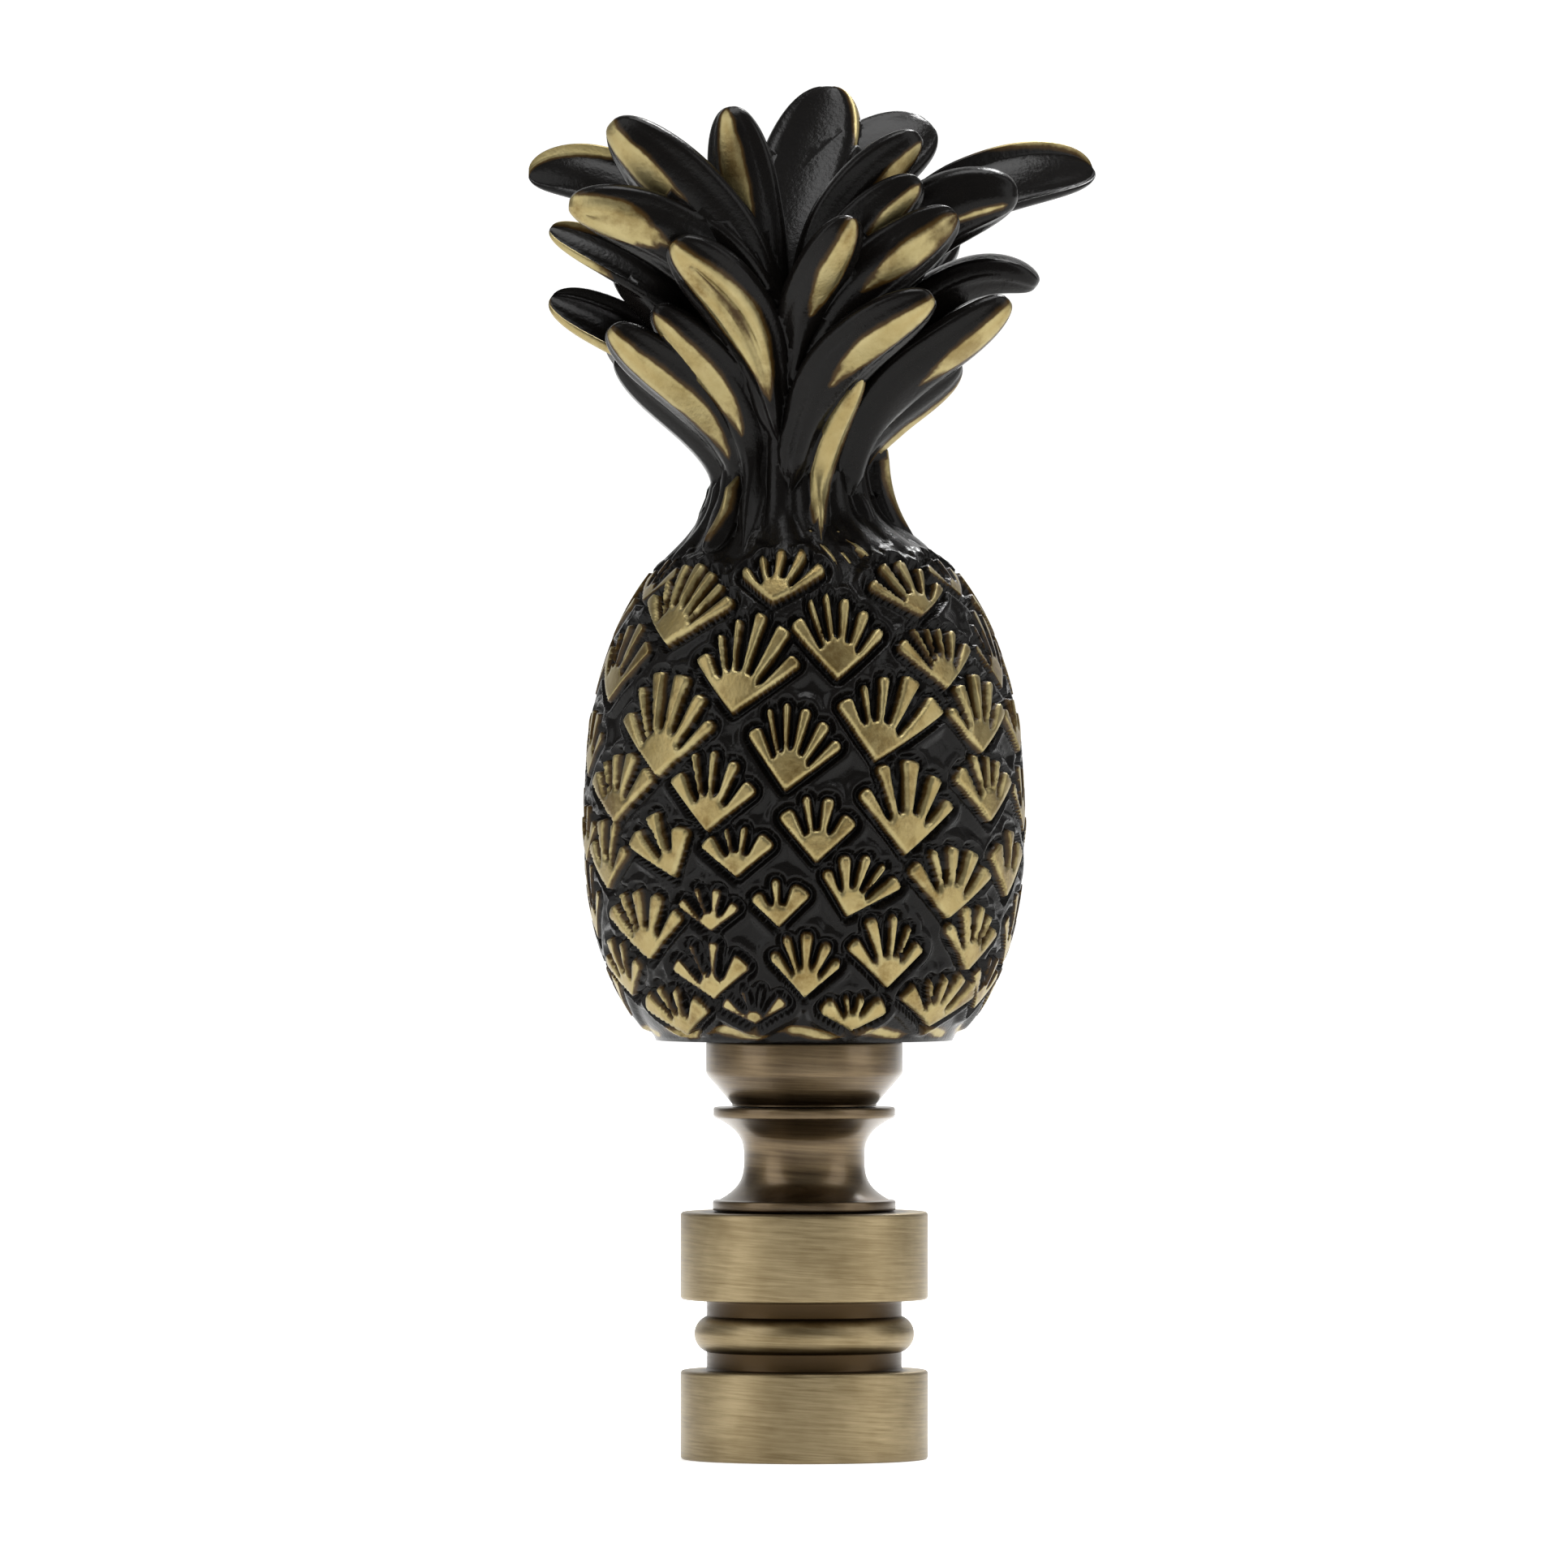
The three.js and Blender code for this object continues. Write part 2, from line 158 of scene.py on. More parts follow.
# %% Camera
VIEW_WIDTH = 80.45
VIEW_MIDDLE = (-1.04, 34.64)
CAMERA_DISTANCE = 900.0
CAMERA_HEIGHT = 40.0
SENSOR_WIDTH = 36.0
CLIP_NEAR, CLIP_FAR = 50.0, 20000.0

camera_data = bpy.data.cameras.new("camera")
camera_data.sensor_width = SENSOR_WIDTH
camera_data.lens = SENSOR_WIDTH * CAMERA_DISTANCE / VIEW_WIDTH
camera = bpy.data.objects.new("camera", camera_data)
bpy.context.collection.objects.link(camera)
camera.location = (VIEW_MIDDLE[0] * MM, -CAMERA_DISTANCE * MM, CAMERA_HEIGHT * MM)
pitch = np.arctan2(VIEW_MIDDLE[1] - CAMERA_HEIGHT, CAMERA_DISTANCE)
camera.rotation_euler = (np.pi / 2 + pitch, 0, 0)
camera_data.clip_start, camera_data.clip_end = CLIP_NEAR * MM, CLIP_FAR * MM
bpy.context.scene.camera = camera
print(f"lens {camera_data.lens:.1f} mm, looking down {-np.degrees(pitch):.2f} degrees")

# %% Floor and backdrop
FLOOR_HALF_WIDTH = 1500.0
FLOOR_NEAR, FLOOR_FAR = -1500.0, 1500.0
SWEEP_RADIUS, BACKDROP_TOP = 300.0, 1500.0
SWEEP_STEPS = 24

sweep_angle = np.radians(np.linspace(0, 90, SWEEP_STEPS))
floor_line = np.vstack([
    [FLOOR_NEAR, 0],
    np.stack([FLOOR_FAR + SWEEP_RADIUS * np.sin(sweep_angle),
              SWEEP_RADIUS * (1 - np.cos(sweep_angle))], -1),
    [FLOOR_FAR + SWEEP_RADIUS, BACKDROP_TOP],
])
steps = len(floor_line)
floor_points = np.vstack([np.insert(floor_line, 0, x, axis=1)
                          for x in (-FLOOR_HALF_WIDTH, FLOOR_HALF_WIDTH)])
start = np.arange(steps - 1)
floor_faces = np.stack([start, start + steps, start + steps + 1, start + 1], -1)
floor_mesh = bpy.data.meshes.new("floor")
floor_mesh.from_pydata((floor_points * MM).tolist(), [], floor_faces.tolist())
floor_mesh.shade_smooth()
floor = bpy.data.objects.new("floor", floor_mesh)
bpy.context.collection.objects.link(floor)
print("floor and backdrop", len(floor_mesh.polygons), "faces")

# %% [markdown]
# ## Turned pieces
#
# The foot, the spool and the cup are turned on a lathe, so each is a profile carried round the
# axis. Blender's Screw modifier does the same, but a plain grid leaves room for the thread. A tool
# leaves no sharp corner: each corner of the profile becomes a small curve that starts and ends a
# little way along its two edges, and that is what catches the light as a thin line. The Bevel
# modifier would round the bead and the sweeps too, where nothing is sharp.

# %% Profiles
TURNED_SIDES = 160
CORNER_STEPS = 6
SHARP_TURN = 20


def softened(profile, radius):
    """Each corner that turns sharply gives way to a quadratic curve from one edge to the next, no
    longer than half an edge, with the corner itself as its control point. Others stay."""
    points = np.array(profile, float)
    step = np.diff(points, axis=0)
    length = np.hypot(*step.T)
    direction = step / length[:, None]
    cut = np.minimum(radius, np.minimum(length[:-1], length[1:]) / 2)[:, None]
    corner = points[1:-1]
    start, end = corner - direction[:-1] * cut, corner + direction[1:] * cut
    share = np.linspace(0, 1, CORNER_STEPS)[None, :, None]
    curve = ((1 - share) ** 2 * start[:, None] + 2 * share * (1 - share) * corner[:, None]
             + share ** 2 * end[:, None])
    sharp = (direction[:-1] * direction[1:]).sum(1) < np.cos(np.radians(SHARP_TURN))
    kept = [curve[i] if sharp[i] else corner[i:i + 1] for i in range(len(corner))]
    return np.vstack([points[:1], *kept, points[-1:]])


def turned(name, profile, base_height):
    """The profile of radius and height, carried round the axis. Its ends lie on the axis."""
    radius, height = profile[1:-1].T
    turn = np.linspace(0, 2 * np.pi, TURNED_SIDES, endpoint=False)
    grid = np.stack([radius[:, None] * np.sin(turn), -radius[:, None] * np.cos(turn),
                     (height + base_height)[:, None] + 0 * turn], -1)
    ends = [(0, 0, profile[i][1] + base_height) for i in (0, -1)]
    return closed_surface(name, grid, *ends)


# %% [markdown]
# The cup carries the fruit: a straight wall above, and a cone below that narrows to its foot. The
# spool has a lip below and a flange above, and its waist is two sweeps that meet at the narrowest
# point. Arcs of circles would join as well, but a power of the share of the way up can be set for
# each sweep by itself until it follows the real one.

# %% Cup
cup_low, cup_high = node_box("cup_collar")
cup_wall = (cup_high[0] - cup_low[0]) / 2
cup_height = cup_high[2] - cup_low[2]
CUP_FOOT_RADIUS = 3.7
CUP_CONE_FOOT, CUP_CONE_TOP = 0.12, 1.67
CUP_EDGE = 0.16

cup_profile = softened([
    (0, 0), (CUP_FOOT_RADIUS, 0), (CUP_FOOT_RADIUS, CUP_CONE_FOOT),
    (cup_wall, CUP_CONE_TOP), (cup_wall, cup_height), (0, cup_height),
], CUP_EDGE)
cup = turned("cup_collar_turned", cup_profile, cup_low[2])
print("cup", len(cup.data.polygons), "faces")

# %% Spool
spool_low, spool_high = node_box("neck_spool")
spool_height = spool_high[2] - spool_low[2]
LIP_RADIUS, LIP_HEIGHT, LIP_STEP = 4.7, 0.55, 0.3
WAIST_RADIUS, WAIST_HEIGHT = 3.1, 2.7
FLANGE_RADIUS, FLANGE_HEIGHT = 4.66, 0.5
LOWER_POWER, UPPER_POWER = 3.2, 3.0
SPOOL_EDGE = 0.14
SPOOL_STEPS = 24

share = np.linspace(0, 1, SPOOL_STEPS)
lower_flare = LIP_RADIUS - LIP_STEP - WAIST_RADIUS
lower_sweep = np.stack([WAIST_RADIUS + lower_flare * (1 - share) ** LOWER_POWER,
                        LIP_HEIGHT + (WAIST_HEIGHT - LIP_HEIGHT) * share], -1)
flange_foot = spool_height - FLANGE_HEIGHT
upper_sweep = np.stack([WAIST_RADIUS + (FLANGE_RADIUS - WAIST_RADIUS) * share ** UPPER_POWER,
                        WAIST_HEIGHT + (flange_foot - WAIST_HEIGHT) * share], -1)
spool_profile = softened([
    (0, 0), (LIP_RADIUS, 0), (LIP_RADIUS, LIP_HEIGHT), *lower_sweep, *upper_sweep[1:],
    (FLANGE_RADIUS, spool_height), (0, spool_height),
], SPOOL_EDGE)
spool = turned("neck_spool_turned", spool_profile, spool_low[2])
print("spool", len(spool.data.polygons), "faces")

# %% [markdown]
# The foot is two discs with a bead between them, and its underside has the hole for the lamp's
# stud. The thread is real mesh, as a bump would leave the hole's edge smooth. It climbs one pitch
# for each turn, so the radius of the hole at any point follows from one number: the height in
# pitches less the share of the turn.

# %% Foot
foot_low, foot_high = node_box("threaded_base")
foot_radius = (foot_high[0] - foot_low[0]) / 2
foot_height = foot_high[2] - foot_low[2]
LOWER_DISC_TOP, BEAD_FOOT, BEAD_TOP, UPPER_DISC_FOOT = 4.58, 5.45, 7.41, 8.2
GROOVE_RADIUS, BEAD_OUTER_RADIUS = 5.0, 5.64
DISC_EDGE = 0.2
HOLE_RADIUS, HOLE_SHOULDER, HOLE_TOP, HOLE_COUNTERSINK = 3.2, 9.5, 11.42, 0.35
THREAD_PITCH, THREAD_DEPTH = 0.9407, 0.5
THREAD_FLAT = 0.125
ROWS_PER_PITCH = 10
BEAD_STEPS = 28
ON_THE_WALL = 0.001

bead_radius = (BEAD_TOP - BEAD_FOOT) / 2
bead_centre = BEAD_OUTER_RADIUS - bead_radius
bead_reach = np.arccos((GROOVE_RADIUS - bead_centre) / bead_radius)
bead_angle = np.linspace(-bead_reach, bead_reach, BEAD_STEPS)
bead = np.stack([bead_centre + bead_radius * np.cos(bead_angle),
                 BEAD_FOOT + bead_radius + bead_radius * np.sin(bead_angle)], -1)
outside = softened([
    (HOLE_RADIUS + HOLE_COUNTERSINK, 0), (foot_radius, 0), (foot_radius, LOWER_DISC_TOP),
    (GROOVE_RADIUS, LOWER_DISC_TOP), *bead, (GROOVE_RADIUS, UPPER_DISC_FOOT),
    (foot_radius, UPPER_DISC_FOOT), (foot_radius, foot_height), (0, foot_height),
], DISC_EDGE)
thread_rows = int((HOLE_SHOULDER - HOLE_COUNTERSINK) / THREAD_PITCH * ROWS_PER_PITCH)
wall_height = np.linspace(HOLE_SHOULDER, HOLE_COUNTERSINK, thread_rows)
wall = np.stack([np.full(thread_rows, HOLE_RADIUS), wall_height], -1)
foot_profile = np.vstack([[(0, HOLE_TOP)], wall, outside])
foot = turned("threaded_base_turned", foot_profile, foot_low[2])


def cut_thread(piece):
    """Moves the hole's wall inwards by the thread: a triangle wave of the height in pitches less
    the share of a turn, cut flat at its root and crest. It fades out over one pitch at the shoulder
    and at the mouth."""
    mesh = piece.data
    points = np.empty(3 * len(mesh.vertices))
    mesh.vertices.foreach_get("co", points)
    x, y, z = (points.reshape(-1, 3) / MM).T
    radius = np.hypot(x, y)
    phase = (z / THREAD_PITCH - np.arctan2(x, -y) / (2 * np.pi)) % 1
    wave = np.clip((1 + 2 * THREAD_FLAT) * (1 - np.abs(2 * phase - 1)) - THREAD_FLAT, 0, 1)
    fade = smoothstep(HOLE_COUNTERSINK, HOLE_COUNTERSINK + THREAD_PITCH, z)
    fade *= smoothstep(HOLE_SHOULDER, HOLE_SHOULDER - THREAD_PITCH, z)
    in_hole = (np.abs(radius - HOLE_RADIUS) < ON_THE_WALL) & (z > 0)
    factor = np.where(in_hole, 1 - THREAD_DEPTH * wave * fade / np.maximum(radius, 1), 1)
    moved = np.stack([x * factor, y * factor, z], -1) * MM
    mesh.vertices.foreach_set("co", moved.ravel())
    mesh.update()
    return int(in_hole.sum())


print("foot", len(foot.data.polygons), "faces,", cut_thread(foot), "points of thread")

# %% [markdown]
# ## Fruit
#
# The fruit's outline is a superellipse: rounder than an ellipse, cut flat below and open to the
# stem above. Its eyes are carved like small fans. Each one starts at a pointed foot, fills a palm,
# and splits into fingers. Carving them by hand would take hours, so they come from a distance: for
# each point of the fruit, how far it lies inside the nearest finger. A finger stands proud, a thin
# band around it is cut deep, and the net between the eyes lies level. The same distance drives the
# rub.

# %% Fruit outline
pineapple_low, pineapple_high = node_box("pineapple")
FRUIT_FOOT = pineapple_low[2]
FRUIT_HEIGHT, FRUIT_RADIUS, WIDEST_RISE = 25.7, 11.4, 11.0
FOOT_RADIUS, SHOULDER_RADIUS, ROUNDNESS = 7.9, 6.25, 2.3


def half_height(rise, end_radius):
    """The half height with which a superellipse comes to end_radius after this rise: the rise over
    (1 - (end radius / widest radius)^n)^(1/n)."""
    return rise / (1 - (end_radius / FRUIT_RADIUS) ** ROUNDNESS) ** (1 / ROUNDNESS)


LOWER_HALF = half_height(WIDEST_RISE, FOOT_RADIUS)
UPPER_HALF = half_height(FRUIT_HEIGHT - WIDEST_RISE, SHOULDER_RADIUS)


def fruit_radius(height):
    """Radius of the fruit at a height above its foot: the widest radius times
    (1 - (rise / half height)^n)^(1/n), with the rise counted from its widest height."""
    rise = height - WIDEST_RISE
    part = np.abs(rise) / np.where(rise < 0, LOWER_HALF, UPPER_HALF)
    return FRUIT_RADIUS * (1 - part ** ROUNDNESS) ** (1 / ROUNDNESS)


# %% [markdown]
# A real pineapple's eyes stand in even spirals, and a rule could place them. A carver is less even,
# so each eye has a row: its turn, its height as a share of the fruit's, its width and height, how
# far its foot leans, its number of fingers, and how much of it the rubbing reached. The front's
# boxes were read by eye off the photograph, a small script changed their pixels to degrees and
# millimetres, and the rows were rounded and in part corrected by hand. The sides' rows are guessed.
# The back repeats them half a turn on.

# %% Eyes
EYES = [
    (-69, 0.92, 3.9, 2.4, 0, 4, 0.4), (-43, 0.87, 6.2, 4.2, -0.3, 7, 1),
    (-9, 0.93, 4.3, 2.9, -0.2, 5, 1), (40, 0.90, 5.1, 2.8, 0, 5, 0.8),
    (68, 0.93, 3.6, 2.4, 0, 4, 0.3), (-17, 0.75, 5.5, 5, -0.5, 6, 1),
    (11, 0.81, 4.6, 4.5, -0.3, 6, 1), (43, 0.77, 4.7, 3.6, 0, 6, 0.8),
    (73, 0.78, 4.4, 4.2, 0, 5, 0.3), (-68, 0.76, 5.4, 4.5, 0, 5, 0.6),
    (-40, 0.63, 6.2, 5.3, -0.3, 6, 1), (-2, 0.59, 4.6, 4.6, -0.6, 6, 1),
    (24, 0.65, 5.4, 4.7, -1, 5, 1), (55, 0.65, 5, 4, -0.3, 5, 0.9), (-79, 0.60, 4.2, 4, 0, 4, 0.5),
    (-58, 0.51, 5.4, 3.9, 0, 5, 0.9), (-24, 0.50, 4.6, 4.2, -0.4, 5, 0.9),
    (4, 0.43, 3.6, 3.7, -0.2, 4, 1), (29, 0.47, 5.2, 5, -0.4, 5, 1),
    (56, 0.51, 4.7, 3.8, 0, 5, 0.9), (82, 0.49, 4.2, 4, 0, 4, 0.4), (-63, 0.37, 4, 3.6, 0, 4, 0.8),
    (-41, 0.39, 3.5, 3.2, 1, 3, 1), (-18, 0.385, 3.7, 2.9, 0, 4, 0.8),
    (67, 0.36, 3.8, 3.8, 0, 3, 0.8), (16, 0.315, 4.1, 3.3, -0.9, 5, 1),
    (43, 0.325, 5.3, 4.1, -0.3, 5, 1), (-81, 0.28, 4, 4.2, 0, 4, 0.4),
    (-7, 0.28, 2.7, 2.6, 0, 3, 1), (-26, 0.265, 3.5, 2.4, 0, 4, 0.5),
    (-49, 0.24, 5.3, 4, 0, 5, 0.9), (1, 0.155, 3.5, 3.4, -0.2, 5, 1),
    (24, 0.18, 4, 3.7, 0.2, 5, 0.9), (54, 0.21, 4.1, 3.6, 0, 5, 0.9), (82, 0.22, 4, 3.8, 0, 4, 0.4),
    (-66, 0.145, 4, 3, 0, 4, 0.7), (-29, 0.14, 4.5, 3, 0, 4, 0.4), (71, 0.12, 3.6, 3.1, 0, 4, 0.5),
    (-17, 0.068, 3.9, 2, 0, 4, 0.1), (16, 0.06, 3.7, 1.9, 0, 4, 1),
    (47, 0.085, 5.4, 2.8, 0, 5, 0.9), (-46, 0.06, 4.6, 2.5, 0, 4, 0.8),
    (91, 0.87, 4, 3.4, 0, 5, 0.6), (91, 0.745, 2.8, 3.2, 0, 3, 0.5),
    (79, 0.635, 3.6, 3.2, 0, 4, 0.7), (101, 0.42, 3.6, 3.4, 0, 4, 0.6),
    (92, 0.10, 3.8, 3, 0, 4, 0.5),
]
SLOT_WIDTH, SLOT_SHARE = 0.74, 0.57
PALM_EDGE, PALM_MIDDLE, PALM_OVERLAP = 0.28, 0.42, 0.1
FINGER_ROUNDING, FINGER_LENGTH = 0.26, 0.97
FOOT_SKEW = 0.25
UNEVEN_RAYS, UNEVEN_SLOTS, UNEVEN_LENGTHS = 0.16, 0.1, 0.07
NEARLY_SQUARE = 1.5


def rounded_most(a, b, radius):
    """The larger of two distances, with the corner where they cross rounded to a radius."""
    over_a, over_b = np.maximum(a + radius, 0), np.maximum(b + radius, 0)
    return np.minimum(np.maximum(a, b), -radius) + np.hypot(over_a, over_b)


def reach_to_outline(angle, width, height, lean):
    """How far a ray from the eye's foot runs to its outline: the larger root of
    a t^2 + 2 b t + c = 0, in which the ellipse is scaled to a circle of radius 1."""
    side_x, side_y = np.sin(angle) / (width / 2), np.cos(angle) / (height / 2)
    start_x, start_y = lean / (width / 2), -1.0
    a = side_x ** 2 + side_y ** 2
    b = start_x * side_x + start_y * side_y
    c = start_x ** 2 + start_y ** 2 - 1
    return (-b + np.sqrt(max(b * b - a * c, 0))) / a


def eye_distance(across, up, width, height, lean, fingers):
    """Distance in millimetres from the eye's raised part, negative inside it. In polar terms about
    the foot the eye is a fan between two straight edges, which reach its widest points. The palm
    is the part within a reach that is longest in the middle. Beyond it slots, each with a round
    inner end, cut the fan into fingers, and a finger ends at the eye's outline, an ellipse. Sines
    of a finger's number and the eye's width make rays, slots and lengths a little uneven."""
    foot_x, foot_y = lean, -height / 2
    x, y = across - foot_x, up - foot_y
    reach, angle = np.hypot(x, y), np.arctan2(x, y)
    drop = FOOT_SKEW * lean * height / width
    left = np.arctan2(-width / 2 - foot_x, height / 2 - drop)
    right = np.arctan2(width / 2 - foot_x, height / 2 + drop)
    spacing = (right - left) / fingers
    ray = np.arange(fingers + 1)
    between = (ray > 0) & (ray < fingers)
    sway = np.where(between, UNEVEN_RAYS * np.sin(5.1 * ray + 7.3 * width), 0)
    rays = left + spacing * (ray + sway)

    def palm_reach(at):
        """The palm's length at an angle: a parabola between its edge and its middle."""
        share = (2 * at - left - right) / (right - left)
        bulge = np.maximum(1 - share ** 2, 0)
        return height * (PALM_EDGE + (PALM_MIDDLE - PALM_EDGE) * bulge)

    def off_ray(gap):
        """Distance from a ray at this angle from the point, which counts as square at most."""
        return reach * np.sin(np.clip(gap, -NEARLY_SQUARE, NEARLY_SQUARE))

    beyond_edges = np.maximum(off_ray(left - angle), off_ray(angle - right))
    nearest = np.maximum(reach - palm_reach(angle) - PALM_OVERLAP, beyond_edges)
    half_slots = []
    for i in range(fingers + 1):
        start = palm_reach(rays[i]) * (1 + UNEVEN_SLOTS * np.cos(4.7 * i + 5 * width))
        opened = np.clip((reach - start) / (SLOT_WIDTH / 2), 0, 1)
        slot = np.minimum(SLOT_WIDTH, SLOT_SHARE * reach * spacing)
        half_slots.append(slot / 2 * np.sqrt(1 - (1 - opened) ** 2) * between[i])
    for i in range(fingers):
        length = reach_to_outline((rays[i] + rays[i + 1]) / 2, width, height, lean)
        length *= FINGER_LENGTH + UNEVEN_LENGTHS * np.sin(7.3 * i + 11.1 * width)
        sides = np.maximum(off_ray(rays[i] - angle) + half_slots[i],
                           off_ray(angle - rays[i + 1]) + half_slots[i + 1])
        nearest = np.minimum(nearest, rounded_most(sides, reach - length, FINGER_ROUNDING))
    return nearest


print(len(EYES), "eyes on each half, with", sum(row[5] for row in EYES), "fingers")

# %% [markdown]
# The fruit's grid is finest at the front, about a tenth of a millimetre from column to column, and
# coarser behind. For each eye only the part of the grid around it is worked out.

# %% Carved fruit
FRUIT_COLUMNS, FRUIT_ROWS, LOWEST_ROW = 380, 162, 0.05
FRONT_FINER = 0.4
EYE_WINDOW, FAR = 1.2, 9.0


def carving(turn_grid, level_grid):
    """For each point of the fruit, the distance from the nearest eye and how far that eye is
    rubbed. The table's eyes are worked out twice, the second time half a turn on."""
    nearest, eye_rub = np.full(turn_grid.shape, FAR), np.zeros(turn_grid.shape)
    for back in (0, np.pi):
        for turn, share, width, height, lean, fingers, rub in EYES:
            middle = share * FRUIT_HEIGHT
            radius = float(fruit_radius(np.array(middle)))
            around = (turn_grid - np.radians(turn) - back + np.pi) % (2 * np.pi) - np.pi
            across, up = around * radius, level_grid - middle
            near = np.abs(across) < width / 2 + EYE_WINDOW
            near &= np.abs(up) < height / 2 + EYE_WINDOW
            distance = eye_distance(across[near], up[near], width, height, lean, fingers)
            closer = distance < nearest[near]
            nearest[near] = np.where(closer, distance, nearest[near])
            eye_rub[near] = np.where(closer, rub, eye_rub[near])
    return nearest, eye_rub


even_turn = np.linspace(-np.pi, np.pi, FRUIT_COLUMNS, endpoint=False)
fruit_turn = even_turn - FRONT_FINER * np.sin(even_turn)
fruit_level = np.linspace(LOWEST_ROW, FRUIT_HEIGHT, FRUIT_ROWS)
turn_grid, level_grid = np.meshgrid(fruit_turn, fruit_level)
nearest_eye, eye_rub = carving(turn_grid, level_grid)
print(f"{(nearest_eye < 0).mean():.0%} of the fruit is proud")

# %% [markdown]
# A square grid draws a slanted edge as a staircase. So the points next to an edge move on to it:
# the distance and its slope say which way the edge lies and how far. The edges are the finger's top
# and foot and the start of the net. A point more than half a cell away from its edge stays where it
# is, so the grid keeps its order.

# %% Edges
EDGE_TOP, EDGE_FOOT, EDGE_NET = -0.09, 0.14, 0.44
EDGE_PASSES = 2
LONGEST_MOVE, LEAST_STEEPNESS = 0.5, 0.2
STILL_ENDS, STILL_BEYOND = 0.3, 1.0

turn_cell, level_cell = np.gradient(fruit_turn), fruit_level[1] - fruit_level[0]
around_cell = turn_cell * fruit_radius(level_grid)
for _ in range(EDGE_PASSES):
    slope_up, slope_around = np.gradient(nearest_eye)
    slope_up, slope_around = slope_up / level_cell, slope_around / around_cell
    steepness = np.maximum(slope_up ** 2 + slope_around ** 2, LEAST_STEEPNESS)
    outer_edge = np.where(nearest_eye < (EDGE_FOOT + EDGE_NET) / 2, EDGE_FOOT, EDGE_NET)
    edge = np.where(nearest_eye < (EDGE_TOP + EDGE_FOOT) / 2, EDGE_TOP, outer_edge)
    travel = (edge - nearest_eye) / steepness
    move_up, move_around = travel * slope_up, travel * slope_around
    free = (level_grid > STILL_ENDS) & (level_grid < FRUIT_HEIGHT - STILL_ENDS)
    free &= nearest_eye < STILL_BEYOND
    free &= np.hypot(move_up / level_cell, move_around / around_cell) < LONGEST_MOVE
    level_grid = level_grid + move_up * free
    turn_grid = turn_grid + move_around * free / fruit_radius(level_grid)
    nearest_eye, eye_rub = carving(turn_grid, level_grid)
print(f"{free.mean():.0%} of the points moved on to an edge")

# %% [markdown]
# Height and rub follow from the distance: proud on the fingers, cut deep beside them, then a raised
# frame, and a sunk floor where the net is wide. The net ripples a little, as cast metal does. An
# eye that is less rubbed lies lower, for the wheel reached the highest ones first. At the fruit's
# foot the wheel left a row of small crescents.

# %% Relief
PROUD, CUT, SUNK, END_RELIEF = 0.12, -0.62, 0.3, -0.3
NET_RIM, NET_FLOOR, NET_START = -0.08, -0.36, 0.22
FLOOR_START, FLOOR_END = 0.5, 1.0
FOOT_FADE, TOP_FADE = 0.3, 0.5
RIPPLE = 0.03
SLOPE_STEP = 0.05
RIM_INSET, INNER_RIM = 0.985, 0.5
RUB_REACH, RUB_MARGIN, RUB_LOSS = 0.45, 0.03, 0.4
CRESCENTS, CRESCENT_LEVEL, CRESCENT_SWING, CRESCENT_TOP = 13, 0.3, 0.15, 0.8
CRESCENT_HALF, CRESCENT_GAP = 0.16, 0.3

proud = smoothstep(EDGE_FOOT, EDGE_TOP, nearest_eye)
net = smoothstep(NET_START, EDGE_NET, nearest_eye)
net_height = NET_RIM + (NET_FLOOR - NET_RIM) * smoothstep(FLOOR_START, FLOOR_END, nearest_eye)
relief = CUT + (PROUD - SUNK * (1 - eye_rub) - CUT) * proud + (net_height - CUT) * net
relief += RIPPLE * net * (np.sin(9 * turn_grid + 1.3 * level_grid)
                          * np.sin(1.9 * level_grid - 5 * turn_grid))
fade_ends = (smoothstep(0, FOOT_FADE, level_grid)
             * smoothstep(FRUIT_HEIGHT, FRUIT_HEIGHT - TOP_FADE, level_grid))
relief = END_RELIEF + (relief - END_RELIEF) * fade_ends
above, below = np.minimum(level_grid + SLOPE_STEP, FRUIT_HEIGHT), level_grid - SLOPE_STEP
slope = (fruit_radius(above) - fruit_radius(below)) / (above - below)
slant = np.hypot(1, slope)
carved_radius = fruit_radius(level_grid) + relief / slant
carved_height = np.clip(level_grid - relief * slope / slant, 0, FRUIT_HEIGHT)
fruit_grid = np.stack([carved_radius * np.sin(turn_grid), -carved_radius * np.cos(turn_grid),
                       carved_height + FRUIT_FOOT], -1)
rim = fruit_grid[:1] * [1, 1, 0] + [0, 0, FRUIT_FOOT]
fruit_grid = np.concatenate([rim * [INNER_RIM, INNER_RIM, 1], rim * [RIM_INSET, RIM_INSET, 1],
                             fruit_grid])

rubbed = 2 * (-RUB_MARGIN - nearest_eye) - RUB_LOSS * (1 - eye_rub)
wave = CRESCENTS * turn_grid + 1
crescent = CRESCENT_HALF - np.abs(level_grid - CRESCENT_LEVEL - CRESCENT_SWING * np.cos(wave))
crescent += CRESCENT_GAP * np.minimum(np.sin(wave), 0)
rubbed = np.where(level_grid < CRESCENT_TOP, np.maximum(rubbed, crescent), rubbed)
rubbed = np.clip(rubbed, -RUB_REACH, RUB_REACH) + RUB_REACH
rubbed = np.concatenate([np.zeros((2, FRUIT_COLUMNS)), rubbed])
fruit = closed_surface("pineapple_casting", fruit_grid, (0, 0, FRUIT_FOOT),
                       (0, 0, FRUIT_FOOT + FRUIT_HEIGHT), rubbed)
print("fruit", len(fruit.data.polygons), "faces")

